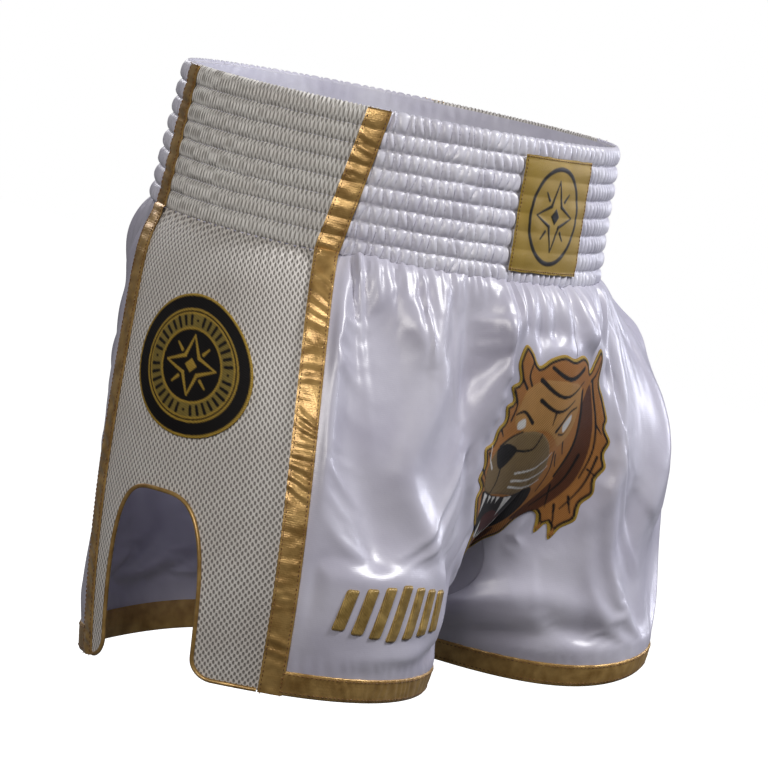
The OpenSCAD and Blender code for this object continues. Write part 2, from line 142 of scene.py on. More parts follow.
@dataclass(frozen=True)
class GarmentForm:
    """The surface that every layer lies on, in millimetres."""

    band_height: float = 92.0
    top_radii: tuple[float, float] = (163.0, 137.0)
    seam_radii: tuple[float, float] = (167.0, 143.0)
    body_height: Skewed = Skewed(265.0, 5.0)
    leg_x: Skewed = Skewed(122.0, -1.0)
    leg_y: Skewed = Skewed(-55.0, -3.0)
    leg_rx: Skewed = Skewed(95.0, -7.0)
    leg_ry: Skewed = Skewed(125.0, 13.0)
    puff_front: Skewed = Skewed(28.0, 3.0)
    puff_side: float = 9.0
    puff_back: float = 34.0
    lift: Skewed = Skewed(12.0, 12.0)
    bow: Skewed = Skewed(3.2, 0.8)
    dent: Skewed = Skewed(9.0, 9.0)
    drop: float = 26.0
    crotch: float = 0.82
    gusset_up: float = 0.19
    gusset_down: float = 0.105
    gusset_wide: float = 0.062
    vent_mid: float = 0.519
    vent_half: float = 0.053
    vent_top: float = 0.60
    vent_corner: float = 0.045
    corner_t: float = 0.020
    rows: int = 8

    def shell(self, side: Array, s: Array, t: Array) -> Array:
        """Points of the body.

        Args:
            side: -1 for the wearer's right, +1 for the left.
            s: 0 at the waistband to 1 at the hem.
            t: 0 at centre front, round the side, to 1 at centre back.

        Returns:
            Points in millimetres, with a last axis of three.
        """
        side, s, t = np.broadcast_arrays(*[np.asarray(v, float) for v in (side, s, t)])
        near = np.clip(np.minimum(t, 1 - t), 0, 1)
        away = 1 - bell(near, 0.12)

        def vary(size: Skewed) -> Array:
            """The size at every point: its mean at the centre seams, each leg's own away from them."""
            return size.mean + side * size.skew * away

        sin, cos = np.sin(math.pi * t), np.cos(math.pi * t)
        leg_x, leg_rx = vary(self.leg_x), vary(self.leg_rx)
        foot_x = leg_x - leg_rx * np.cos(2 * math.pi * t)
        foot_y = vary(self.leg_y) - vary(self.leg_ry) * np.sin(2 * math.pi * t)
        k = 1 - np.exp(-((near / 0.15) ** 1.6))
        outer = 1 - np.clip(1 - s, 0, 1) ** vary(self.bow)
        w = np.clip(s / self.crotch, 0, 1) ** 3.4 * (1 - k) + outer * k
        x = self.seam_radii[0] * sin * (1 - w) + foot_x * w
        y = -self.seam_radii[1] * cos * (1 - w) + foot_y * w
        opened = ease((s - self.crotch) / (1 - self.crotch))
        x = np.maximum(0, x - w * (leg_x - leg_rx) * bell(near, 0.13) * (1 - opened))
        seat = 1 + 0.5 * bell(t - 0.86, 0.09) - 0.45 * bell(t - 1, 0.07)
        puff_front = vary(self.puff_front)
        full = self.puff_side + (puff_front - self.puff_side) * np.clip(cos, 0, 1) ** 1.3
        full = (full + (self.puff_back - self.puff_side) * np.clip(-cos, 0, 1) ** 1.3) * seat
        full = full * (1 - np.exp(-s / 0.06)) * (1 - np.clip(s, 0, 1) ** (2 + 1.5 * t))
        dent = vary(self.dent) * bell(s - 0.68, 0.2) * bell(t - 0.2, 0.14)
        x = x + np.clip(sin, 0, 1) ** 1.3 * full - 0.5 * dent
        y = y - cos * full + 0.85 * dent
        z = -self.band_height - vary(self.body_height) * s
        z = z + vary(self.lift) * s * s * bell(t - 0.34, 0.15) - self.drop * s * s * bell(t - 0.72, 0.18)
        return np.stack([side * x, y, z], -1)

    def _raw_out(self, side: Array, s: Array, t: Array) -> Array:
        """The cloth's outward direction from its slopes."""
        step = 0.004
        s, t = np.clip(s, step, 1 - step), np.clip(t, step, 1 - step)
        down = self.shell(side, s + step, t) - self.shell(side, s - step, t)
        along = self.shell(side, s, t + step) - self.shell(side, s, t - step)
        return unit(np.cross(along, down) * -np.asarray(side, float)[..., None])

    def out(self, side: Array, s: Array, t: Array) -> Array:
        """Outward direction of the cloth, shared by both sides of every centre seam."""
        side, s, t = np.broadcast_arrays(*[np.asarray(v, float) for v in (side, s, t)])
        n = self._raw_out(side, s, t)
        centre = (t < 0.001) | (t > 0.999)
        flat = unit(n * np.array([0.0, 1.0, 1.0]))
        both = self._raw_out(side, s, np.zeros_like(t)) + self._raw_out(side, s, np.ones_like(t))
        seam = np.where((s <= self.crotch)[..., None], flat, unit(both))
        return np.where(centre[..., None], seam, n)

    def at(self, side: Array, s: Array, t: Array, n: Array) -> Array:
        """Points n millimetres outside the body's surface."""
        return self.shell(side, s, t) + self.out(side, s, t) * np.asarray(n, float)[..., None]

    def ring(self, side: Array, h: Array, t: Array, n: Array) -> Array:
        """Points of the waistband, h down from its top edge and n outside its surface."""
        side, h, t, n = np.broadcast_arrays(*[np.asarray(v, float) for v in (side, h, t, n)])
        k = h / self.band_height
        ax = self.top_radii[0] + (self.seam_radii[0] - self.top_radii[0]) * k
        ay = self.top_radii[1] + (self.seam_radii[1] - self.top_radii[1]) * k
        sin, cos = np.sin(math.pi * t), np.cos(math.pi * t)
        away = unit(np.stack([side * ay * sin, -ax * cos, np.zeros_like(k)], -1))
        return np.stack([side * ax * sin, -ay * cos, -h], -1) + away * n[..., None]

    def band_front(self, h: Array) -> Array:
        """Where the front stripe crosses the waistband."""
        return 0.325 + 0.032 * h / self.band_height

    def band_back(self, h: Array) -> Array:
        """Where the back stripe crosses the waistband."""
        return 0.665 - 0.005 * h / self.band_height

    def edge_front(self, s: Array) -> Array:
        """Where the front stripe runs on the body."""
        return 0.357 + 0.036 * (1 - np.clip(1 - s, 0, 1) ** 4)

    def edge_back(self, s: Array) -> Array:
        """Where the back stripe runs on the body."""
        return 0.66 - 0.035 * (1 - np.clip(1 - s, 0, 1) ** 8) - 0.02 * np.clip(s, 0, 1) ** 3

    def gusset_edge(self, s: Array) -> Array:
        """Half the width of the crotch gusset at s, as a share of t."""
        radius = math.hypot(self.gusset_up, self.gusset_down)
        angle = math.atan2(self.gusset_up, self.gusset_down)
        inside = (s > self.crotch - self.gusset_up) & (s < self.crotch + self.gusset_down)
        turn = np.arcsin(np.clip((s - self.crotch) / radius, -1, 1))
        return np.where(inside, self.gusset_wide * np.sin(2 * (angle + turn)), 0.0)

    def vent_edge(self, t: Array) -> Array:
        """Lower edge of a side panel at t: hem, rounded corners, and the arch between them."""
        d = np.abs(np.asarray(t, float) - self.vent_mid)
        round_off = 1 - np.sqrt(np.clip(1 - (1 - (d - self.vent_half) / self.corner_t) ** 2, 0, 1))
        corner = 1 - self.vent_corner * round_off
        arch = np.clip(1 - (d / self.vent_half) ** 3.4, 0, 1) ** (1 / 3.4)
        high = 1 - self.vent_corner - (1 - self.vent_corner - self.vent_top) * arch
        return np.where(d >= self.vent_half + self.corner_t, 1.0, np.where(d > self.vent_half, corner, high))

    def side_t(self, t: Array, s: Array) -> Array:
        """Carries a place across the side panel's hem up to height s."""
        share = (t - self.edge_front(1.0)) / (self.edge_back(1.0) - self.edge_front(1.0))
        return self.edge_front(s) + (self.edge_back(s) - self.edge_front(s)) * share

    def per_t(self, side: float, s: float, t: float) -> float:
        """Millimetres of cloth for one unit of t."""
        a, b = max(0.0, t - 0.01), min(1.0, t + 0.01)
        return float(np.linalg.norm(self.shell(side, s, b) - self.shell(side, s, a))) / (b - a)

    def per_s(self, side: float, s: float, t: float) -> float:
        """Millimetres of cloth for one unit of s."""
        a, b = max(0.0, s - 0.02), min(1.0, s + 0.02)
        return float(np.linalg.norm(self.shell(side, b, t) - self.shell(side, a, t))) / (b - a)


FORM = GarmentForm()


# ---- meshes ----


def mesh_object(
    name: str, verts: Array, faces: Array, uv: Array | None = None, colours: Array | None = None
) -> Piece:
    """Makes a smooth-shaded mesh object at the origin.

    Args:
        name: the piece's name.
        verts: points in millimetres.
        faces: corner numbers, one row a face.
        uv: millimetres along the cloth for each point.
        colours: a colour for each point.

    Returns:
        The new object, linked to the scene.
    """
    mesh = bpy.data.meshes.new(name)
    mesh.from_pydata((verts * MM).tolist(), [], faces.tolist())
    if uv is not None:
        corner = np.empty(len(mesh.loops), np.int32)
        mesh.loops.foreach_get("vertex_index", corner)
        layer = mesh.uv_layers.new(name="cloth")
        layer.data.foreach_set("uv", (uv[corner] * MM).astype(np.float32).ravel())
    if colours is not None:
        paint = mesh.color_attributes.new(name="thread", type="FLOAT_COLOR", domain="POINT")
        paint.data.foreach_set("color", colours.astype(np.float32).ravel())
    mesh.shade_smooth()
    mesh.set_sharp_from_angle(angle=math.radians(58))
    obj = bpy.data.objects.new(PREFIX + name, mesh)
    bpy.context.scene.collection.objects.link(obj)
    return obj


def named(*pieces: Piece) -> dict[str, Piece]:
    """Pieces by the names of the solids that they stand for."""
    return {piece.name.removeprefix(PREFIX): piece for piece in pieces}


def shell_object(
    name: str,
    outer: Array,
    inner: Array,
    uv: Array | None = None,
    colours: Array | None = None,
    keep: Array | None = None,
    wrap: bool = False,
) -> Piece:
    """Makes a closed sheet from a grid of outer points and a grid of inner points.

    Args:
        name: the piece's name.
        outer: outer points, rows by columns by three.
        inner: inner points, shaped as outer.
        uv: millimetres along the cloth, rows by columns by two.
        colours: thread colours, rows by columns by four.
        keep: which squares of the grid the sheet has.
        wrap: True where the last column joins the first.

    Returns:
        The new object, with its faces pointing out of the sheet.
    """
    rows, cols = outer.shape[:2]
    count = rows * cols
    ids = np.arange(count).reshape(rows, cols)
    if wrap:
        ids = np.hstack([ids, ids[:, :1]])
    quads = np.stack([ids[:-1, :-1], ids[1:, :-1], ids[1:, 1:], ids[:-1, 1:]], -1)
    quads = quads.reshape(-1, 4) if keep is None else quads[keep]
    flat_outer, flat_inner = outer.reshape(-1, 3), inner.reshape(-1, 3)
    a, b, c = (flat_outer[quads[:, k]] for k in (0, 1, 2))
    lean = np.einsum("ij,ij->i", np.cross(b - a, c - a), flat_outer[quads[:, 0]] - flat_inner[quads[:, 0]])
    if lean.sum() < 0:
        quads = quads[:, ::-1]
    edges = np.concatenate([quads[:, [k, (k + 1) % 4]] for k in range(4)])
    rim = edges[~np.isin(edges[:, 0] * count + edges[:, 1], edges[:, 1] * count + edges[:, 0])]
    sides = np.stack([rim[:, 1], rim[:, 0], rim[:, 0] + count, rim[:, 1] + count], -1)
    faces = np.concatenate([quads, quads[:, ::-1] + count, sides])
    used, faces = np.unique(faces, return_inverse=True)
    faces = faces.reshape(-1, 4)
    verts = np.concatenate([flat_outer, flat_inner])[used]
    spread = None if uv is None else np.concatenate([uv.reshape(-1, 2)] * 2)[used]
    paint = None if colours is None else np.concatenate([colours.reshape(-1, 4)] * 2)[used]
    return mesh_object(name, verts, faces, spread, paint)


def grid_normals(points: Array, toward: Array) -> Array:
    """Directions square to a grid of points, on the side that toward points to."""
    n = unit(np.cross(np.gradient(points, axis=0), np.gradient(points, axis=1)))
    sign = np.sign(np.einsum("ijk,ijk->ij", n, toward))
    return n * np.where(sign == 0, 1, sign)[..., None]


def smooth_loop(points: Sequence[tuple[float, float]], closed: bool, steps: int = 6) -> Array:
    """A smooth curve through points in the plane.

    Args:
        points: the points.
        closed: True where the last point runs on to the first.
        steps: pieces between two points.

    Returns:
        The curve's points.
    """
    p = np.array(points, float)
    n = len(p)
    last = n if closed else n - 1
    out = []
    for i in range(last):
        if closed:
            a, b, c, d = p[i - 1], p[i], p[(i + 1) % n], p[(i + 2) % n]
        else:
            a, b, c, d = p[max(0, i - 1)], p[i], p[i + 1], p[min(n - 1, i + 2)]
        for k in range(steps):
            x = k / steps
            square, cube = 2 * a - 5 * b + 4 * c - d, 3 * b - a - 3 * c + d
            out.append(0.5 * (2 * b + (c - a) * x + square * x**2 + cube * x**3))
    if not closed:
        out.append(p[-1])
    return np.array(out)


def outline_distance(at: Array, loop: Array) -> tuple[Array, Array]:
    """Signed distance to a closed outline, below zero inside it.

    Args:
        at: points in the plane.
        loop: the outline's corners in order.

    Returns:
        The distance of each point, and the outline's nearest point to it.
    """
    best = np.full(at.shape[:-1], np.inf)
    nearest = np.zeros_like(at)
    inside = np.zeros(at.shape[:-1], bool)
    for a, b in zip(loop, np.roll(loop, -1, 0)):
        edge = b - a
        k = np.clip(((at - a) @ edge) / max(1e-9, edge @ edge), 0, 1)
        foot = a + k[..., None] * edge
        gap = np.linalg.norm(at - foot, axis=-1)
        closer = gap < best
        best = np.where(closer, gap, best)
        nearest = np.where(closer[..., None], foot, nearest)
        if a[1] != b[1]:
            crosses = (a[1] > at[..., 1]) != (b[1] > at[..., 1])
            inside ^= crosses & (at[..., 0] < edge[0] * (at[..., 1] - a[1]) / edge[1] + a[0])
    return np.where(inside, -best, best), nearest


def line_distance(at: Array, line: Array) -> tuple[Array, Array]:
    """Distance to an open line.

    Args:
        at: points in the plane.
        line: the line's points in order.

    Returns:
        The distance of each point, and how far along the line its nearest point is, from 0 to 1.
    """
    best, where = np.full(at.shape[:-1], np.inf), np.zeros(at.shape[:-1])
    for i, (a, b) in enumerate(zip(line[:-1], line[1:])):
        edge = b - a
        k = np.clip(((at - a) @ edge) / max(1e-9, edge @ edge), 0, 1)
        gap = np.linalg.norm(at - (a + k[..., None] * edge), axis=-1)
        where = np.where(gap < best, (i + k) / (len(line) - 1), where)
        best = np.minimum(best, gap)
    return best, where


# ---- finishes ----


def add_node(tree: Tree, kind: str, links: dict | None = None, **settings: str | float) -> Node:
    """Adds one node with its settings and inputs.

    Args:
        tree: the node tree.
        kind: the node's type name.
        links: an input's name or number, with the socket or the value it takes.
        settings: the node's own properties.

    Returns:
        The new node.
    """
    node = tree.nodes.new(kind)
    for key, value in settings.items():
        setattr(node, key, value)
    for key, value in (links or {}).items():
        if isinstance(value, Socket):
            tree.links.new(value, node.inputs[key])
        else:
            node.inputs[key].default_value = value
    return node


def ramp(tree: Tree, factor: Socket, stops: Sequence[tuple[float, str]]) -> Node:
    """Adds a colour ramp.

    Args:
        tree: the node tree.
        factor: what the ramp reads.
        stops: places from 0 to 1, each with its sRGB colour code.

    Returns:
        The ramp's node.
    """
    node = add_node(tree, "ShaderNodeValToRGB", {"Fac": factor})
    band = node.color_ramp.elements
    while len(band) < len(stops):
        band.new(0.5)
    for element, (place, code) in zip(band, stops):
        element.position = place
        element.color = linear(code)
    return node


@dataclass(frozen=True)
class Finish:
    """A surface: its colours, gloss and thread, and how it builds its material."""

    name: str
    light: str
    dark: str
    roughness: tuple[float, float] = (0.35, 0.5)
    metallic: float = 0.0
    sheen: float = 0.0
    coat: float = 0.0
    specular: float = 0.5
    anisotropic: float = 0.0
    glow: float = 0.0
    patch_mm: float = 22.0
    thread_mm: float = 1.0
    relief_mm: float = 0.05

    def start(self) -> tuple[Material, Tree, Node]:
        """Makes the material with its shader, whose constants sit on its own sockets."""
        material = bpy.data.materials.new(self.name)
        material.use_nodes = True
        tree = material.node_tree
        shader = tree.nodes["Principled BSDF"]
        constants = {
            "Metallic": self.metallic, "Sheen Weight": self.sheen, "Sheen Roughness": 0.4,
            "Coat Weight": self.coat, "Coat Roughness": 0.25, "Specular IOR Level": self.specular,
            "Anisotropic": self.anisotropic, "Emission Color": linear(self.light),
            "Emission Strength": self.glow,
        }
        for label, value in constants.items():
            shader.inputs[label].default_value = value
        material.diffuse_color = linear(self.light)
        return material, tree, shader

    def clouds(self, tree: Tree, size_mm: float, detail: float = 3.0) -> Socket:
        """Soft noise on the object's own place, with features of size_mm."""
        place = add_node(tree, "ShaderNodeTexCoord").outputs["Object"]
        noise = add_node(
            tree, "ShaderNodeTexNoise", {"Vector": place, "Scale": 1 / (size_mm * MM), "Detail": detail}
        )
        return noise.outputs["Fac"]

    def threads(self, tree: Tree, pitch_mm: float, turn: float) -> Socket:
        """Parallel threads along the cloth.

        Args:
            tree: the node tree.
            pitch_mm: distance between two threads.
            turn: their angle in degrees.

        Returns:
            A wave from 0 to 1.
        """
        place = add_node(tree, "ShaderNodeUVMap", uv_map="cloth").outputs["UV"]
        turned = add_node(
            tree, "ShaderNodeMapping", {"Vector": place, "Rotation": (0, 0, math.radians(turn))}
        ).outputs["Vector"]
        # A wave texture has one thread in 2 pi / 20 of a unit.
        wave = add_node(
            tree,
            "ShaderNodeTexWave",
            {"Vector": turned, "Scale": math.pi / 10 / (pitch_mm * MM), "Distortion": 1.2, "Detail": 1.0},
            wave_profile="SIN",
        )
        return wave.outputs["Fac"]

    def finish_off(
        self,
        tree: Tree,
        shader: Node,
        colour: Socket,
        height: Socket,
        rough: Socket,
        relief_mm: float,
        soft: Socket | None = None,
        soft_mm: float = 0.4,
    ) -> None:
        """Links colour, roughness and relief to the shader.

        Args:
            tree: the node tree.
            shader: the Principled node.
            colour: the colour's socket.
            height: fine relief, from 0 to 1.
            rough: what the roughness follows, from 0 to 1.
            relief_mm: depth of the fine relief.
            soft: broad relief under the fine one, from 0 to 1.
            soft_mm: depth of the broad relief.
        """
        tree.links.new(colour, shader.inputs["Base Color"])
        low, high = self.roughness
        spread = add_node(tree, "ShaderNodeMapRange", {"Value": rough, "To Min": low, "To Max": high})
        tree.links.new(spread.outputs["Result"], shader.inputs["Roughness"])
        inputs = {"Height": height, "Distance": relief_mm * MM, "Strength": 1.0}
        if soft is not None:
            under = add_node(
                tree, "ShaderNodeBump", {"Height": soft, "Distance": soft_mm * MM, "Strength": 0.6}
            )
            inputs["Normal"] = under.outputs["Normal"]
        bump = add_node(tree, "ShaderNodeBump", inputs)
        tree.links.new(bump.outputs["Normal"], shader.inputs["Normal"])

    def material(self) -> Material:
        """Woven cloth: clouds of tone, crossing threads and gloss that varies a little."""
        material, tree, shader = self.start()
        clouds = self.clouds(tree, self.patch_mm)
        fine = self.clouds(tree, self.patch_mm / 9, 5.0)
        tone = ramp(tree, clouds, [(0.32, self.dark), (0.66, self.light)]).outputs["Color"]
        weave = self.threads(tree, self.thread_mm, 0)
        cross = self.threads(tree, self.thread_mm * 1.7, 90)
        height = add_node(tree, "ShaderNodeMath", {0: weave, 1: cross}, operation="MULTIPLY").outputs[0]
        self.finish_off(tree, shader, tone, height, fine, self.relief_mm, soft=fine, soft_mm=0.25)
        return material


@dataclass(frozen=True)
class NetFinish(Finish):
    """Knitted polyester net: light cords round staggered oval openings, which are coloured dark as painted
    shade.
    """

    relief_mm: float = 0.7
    pitch_u: float = 3.6
    pitch_v: float = 4.4
    narrow: float = 1.45
    rim: tuple[float, float] = (0.17, 0.36)
    # Colour of the openings: painted shade, darker than the cords.
    hole: str = "4a4644"

    def material(self) -> Material:
        """The openings follow the cloth's own millimetres, as the relief in the mesh does."""
        material, tree, shader = self.start()
        place = add_node(tree, "ShaderNodeUVMap", uv_map="cloth").outputs["UV"]
        scale = (1 / (self.pitch_u * MM), 1 / (self.pitch_v * MM), 1.0)
        holes = []
        for shift in (0.0, 0.5):
            cell = add_node(
                tree, "ShaderNodeMapping", {"Vector": place, "Scale": scale, "Location": (shift, shift, 0)}
            ).outputs["Vector"]
            part = add_node(tree, "ShaderNodeVectorMath", {0: cell}, operation="FRACTION").outputs[0]
            centred = add_node(
                tree, "ShaderNodeVectorMath", {0: part, 1: (-0.5, -0.5, 0.0)}, operation="ADD"
            ).outputs[0]
            stretched = add_node(
                tree, "ShaderNodeVectorMath", {0: centred, 1: (self.narrow, 1.0, 0.0)}, operation="MULTIPLY"
            ).outputs[0]
            length = add_node(tree, "ShaderNodeVectorMath", {0: stretched}, operation="LENGTH")
            holes.append(length.outputs["Value"])
        nearest = add_node(tree, "ShaderNodeMath", dict(enumerate(holes)), operation="MINIMUM").outputs[0]
        cord = add_node(
            tree, "ShaderNodeMapRange", {"Value": nearest, "From Min": self.rim[0], "From Max": self.rim[1]}
        ).outputs["Result"]
        clouds = self.clouds(tree, self.patch_mm)
        tone = ramp(tree, clouds, [(0.3, self.dark), (0.7, self.light)]).outputs["Color"]
        # Painted shade: the openings are coloured dark, while the cords keep the cloth's tone.
        colour = add_node(
            tree, "ShaderNodeMix", {0: cord, 6: linear(self.hole), 7: tone}, data_type="RGBA"
        ).outputs[2]
        fine = self.clouds(tree, 0.9, 4.0)
        self.finish_off(tree, shader, colour, cord, fine, self.relief_mm, soft=fine, soft_mm=0.15)
        return material


@dataclass(frozen=True)
class ThreadFinish(Finish):
    """Embroidery thread: satin stitch in the colour painted on each point."""

    painted: bool = True
    turn: float = 58.0

    def material(self) -> Material:
        """Thread lies in parallel stitches; their crowns get a painted highlight and the grooves between them
        painted shade.
        """
        material, tree, shader = self.start()
        lie = self.threads(tree, self.thread_mm, self.turn)
        clouds = self.clouds(tree, self.patch_mm)
        if self.painted:
            base = add_node(tree, "ShaderNodeAttribute", attribute_name="thread").outputs["Color"]
        else:
            base = ramp(tree, clouds, [(0.3, self.dark), (0.7, self.light)]).outputs["Color"]
        # Painted highlight and painted shade: the colour is scaled from 0.62 between threads to 1.12 on their
        # crowns.
        lift = add_node(tree, "ShaderNodeMapRange", {"Value": lie, "To Min": 0.62, "To Max": 1.12})
        shade = add_node(
            tree, "ShaderNodeMapRange", {"Value": clouds, "From Min": 0.3, "From Max": 0.7, "To Min": 0.85}
        )
        both = add_node(
            tree, "ShaderNodeMath", {0: lift.outputs["Result"], 1: shade.outputs["Result"]},
            operation="MULTIPLY",
        ).outputs[0]
        colour = add_node(tree, "ShaderNodeVectorMath", {0: base, "Scale": both}, operation="SCALE")
        self.finish_off(tree, shader, colour.outputs[0], lie, clouds, self.relief_mm)
        return material


class Look(Enum):
    """Every finish on the shorts, and the studio's floor."""

    # Polyester satin, warp-faced weave: broad cool highlights over a faint lilac grey. The real threads
    # are 0.1 mm apart, and they are drawn at 0.7 mm so that they show.
    SATIN = Finish(
        "polyester_satin_white", "d0cedd", "bab7c9", (0.28, 0.41), sheen=0.1, coat=0.05, specular=0.8,
        anisotropic=0.35, patch_mm=60, thread_mm=0.7, relief_mm=0.02,
    )
    # The same satin gathered on elastic, its colour painted a little brighter than the panels' as painted
    # light for its small, tight folds.
    SHIRRED = Finish(
        "polyester_satin_shirred", "e0dfeb", "cfcddd", (0.28, 0.42), sheen=0.1, coat=0.1, specular=0.8,
        patch_mm=30, thread_mm=0.7, relief_mm=0.02,
    )
    # Gold polyester satin tape: warm brown in its hollows, pale gold where it turns to the light.
    GOLD = Finish(
        "polyester_satin_gold", "cfa866", "a07a40", (0.25, 0.40), metallic=0.45, sheen=0.1, coat=0.15,
        specular=0.7, anisotropic=0.3, patch_mm=11, thread_mm=0.8, relief_mm=0.04,
    )
    # Polyester air net, knitted: its openings are real size.
    NET = NetFinish(
        "polyester_air_net", "f0ece8", "e0dad5", (0.42, 0.6), sheen=0.2, patch_mm=45, hole="8f8984"
    )
    # The net gathered on elastic: its openings close to upright slots, one to a row. Its cords are painted a
    # little brighter than the flat net's, as painted light, and its openings take a paler painted shade.
    NET_SHIRRED = NetFinish(
        "polyester_air_net_shirred", "f4f2ee", "e6e2de", (0.45, 0.62), sheen=0.2, patch_mm=30,
        pitch_u=2.9, pitch_v=11.5, hole="a9a49e",
    )
    # Damask label, woven gold weft on black warp: flat, with fine even ribs.
    LABEL = ThreadFinish(
        "woven_damask_label", "b0913f", "8a6c28", (0.36, 0.5), metallic=0.3, sheen=0.1, patch_mm=16,
        thread_mm=0.8, relief_mm=0.06, turn=0.0,
    )
    # Rayon embroidery, satin stitch: raised, with a soft sheen along each thread, partly real sheen and
    # partly a painted highlight on the threads' crowns. The real threads are 0.4 mm apart, and they are drawn
    # at 0.9 mm.
    EMBROIDERY = ThreadFinish(
        "rayon_embroidery", "a9773b", "6b4a28", (0.55, 0.7), sheen=0.03, specular=0.25, patch_mm=9,
        thread_mm=0.9, relief_mm=0.12,
    )
    # Gold rayon thread over foam, for the raised mark.
    GOLD_THREAD = ThreadFinish(
        "rayon_thread_gold", "cbaa62", "957738", (0.34, 0.48), metallic=0.25, sheen=0.2, patch_mm=7,
        thread_mm=0.9, relief_mm=0.15, painted=False, turn=12.0,
    )
    # Spun polyester sewing thread: matt, slightly fuzzy.
    WHITE_STITCH = Finish(
        "sewing_thread_white", "e6e5ee", "c9c7d4", (0.5, 0.65), sheen=0.3, patch_mm=5, relief_mm=0.02
    )
    GOLD_STITCH = Finish(
        "sewing_thread_bronze", "8a5c28", "5e3b18", (0.45, 0.6), sheen=0.3, patch_mm=5, relief_mm=0.02
    )
    # Braided rubber and polyester elastic: chalky, with ribs along its length.
    ELASTIC = Finish(
        "braided_elastic_white", "dedcd6", "c8c5bf", (0.62, 0.8), sheen=0.25, patch_mm=18, thread_mm=1.6,
        relief_mm=0.3,
    )
    # Matt painted board.
    FLOOR = Finish(
        "painted_board_pale", "ffffff", "fcfcfc", (0.7, 0.85), specular=0.1, glow=1.0, patch_mm=400,
        thread_mm=9, relief_mm=0.01,
    )

    def material(self) -> Material:
        """The finish's material, made when it is first needed."""
        return bpy.data.materials.get(self.value.name) or self.value.material()

    def dress(self, piece: Piece) -> None:
        """Gives a piece this finish."""
        piece.data.materials.clear()
        piece.data.materials.append(self.material())


# ---- how a piece joins the frame ----


def settle(piece: Piece, look: Look, slot: str, *nodes: str) -> Piece:
    """Dresses a piece, puts it on the body and hides the solids that it stands for.

    Args:
        piece: the piece, at the origin.
        look: its finish.
        slot: not used.
        nodes: the solids that it replaces.

    Returns:
        The piece.
    """
    look.dress(piece)
    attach(piece, BODY)
    if nodes:
        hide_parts(*nodes)
    log.info("%s: %d points", piece.name, len(piece.data.vertices))
    return piece


def node_group(name: str, inputs: dict[str, str]) -> tuple[Tree, dict[str, str]]:
    """Starts a node tree that turns lines into a piece.

    Args:
        name: the tree's name.
        inputs: its own inputs and their socket types, beside the lines.

    Returns:
        The tree, and the identifier of each of its own inputs.
    """
    tree = bpy.data.node_groups.new(name, "GeometryNodeTree")
    face = tree.interface
    face.new_socket("Geometry", in_out="INPUT", socket_type="NodeSocketGeometry")
    keys = {
        label: face.new_socket(label, in_out="INPUT", socket_type=kind).identifier
        for label, kind in inputs.items()
    }
    face.new_socket("Geometry", in_out="OUTPUT", socket_type="NodeSocketGeometry")
    return tree, keys


def close_tree(tree: Tree, shape: Socket, material: Socket) -> None:
    """Ends a tree: its instances made real, with their material on."""
    real = add_node(tree, "GeometryNodeRealizeInstances", {"Geometry": shape}).outputs["Geometry"]
    done = add_node(tree, "GeometryNodeSetMaterial", {"Geometry": real, "Material": material})
    add_node(tree, "NodeGroupOutput", {"Geometry": done.outputs["Geometry"]})


def grow(
    name: str,
    lines: Sequence[Array],
    tree: Tree,
    keys: dict[str, str],
    values: dict[str, float | int | Material],
) -> Piece:
    """Runs a node tree on lines and keeps the result as a plain mesh.

    Args:
        name: the piece's name.
        lines: polylines in millimetres.
        tree: the node tree.
        keys: identifiers of the tree's inputs.
        values: what each input is set to.

    Returns:
        The piece, at the origin.
    """
    edges, start = [], 0
    for line in lines:
        edges += [(start + i, start + i + 1) for i in range(len(line) - 1)]
        start += len(line)
    mesh = bpy.data.meshes.new(name + "_lines")
    mesh.from_pydata((np.concatenate(lines) * MM).tolist(), edges, [])
    source = bpy.data.objects.new(name + "_lines", mesh)
    bpy.context.scene.collection.objects.link(source)
    modifier = source.modifiers.new(tree.name, "NODES")
    modifier.node_group = tree
    for label, value in values.items():
        modifier[keys[label]] = value
    view = bpy.context.evaluated_depsgraph_get()
    made = bpy.data.meshes.new_from_object(source.evaluated_get(view))
    made.name = name
    made.shade_smooth()
    source.modifiers.clear()
    bpy.data.objects.remove(source)
    piece = bpy.data.objects.new(name, made)
    bpy.context.scene.collection.objects.link(piece)
    return piece


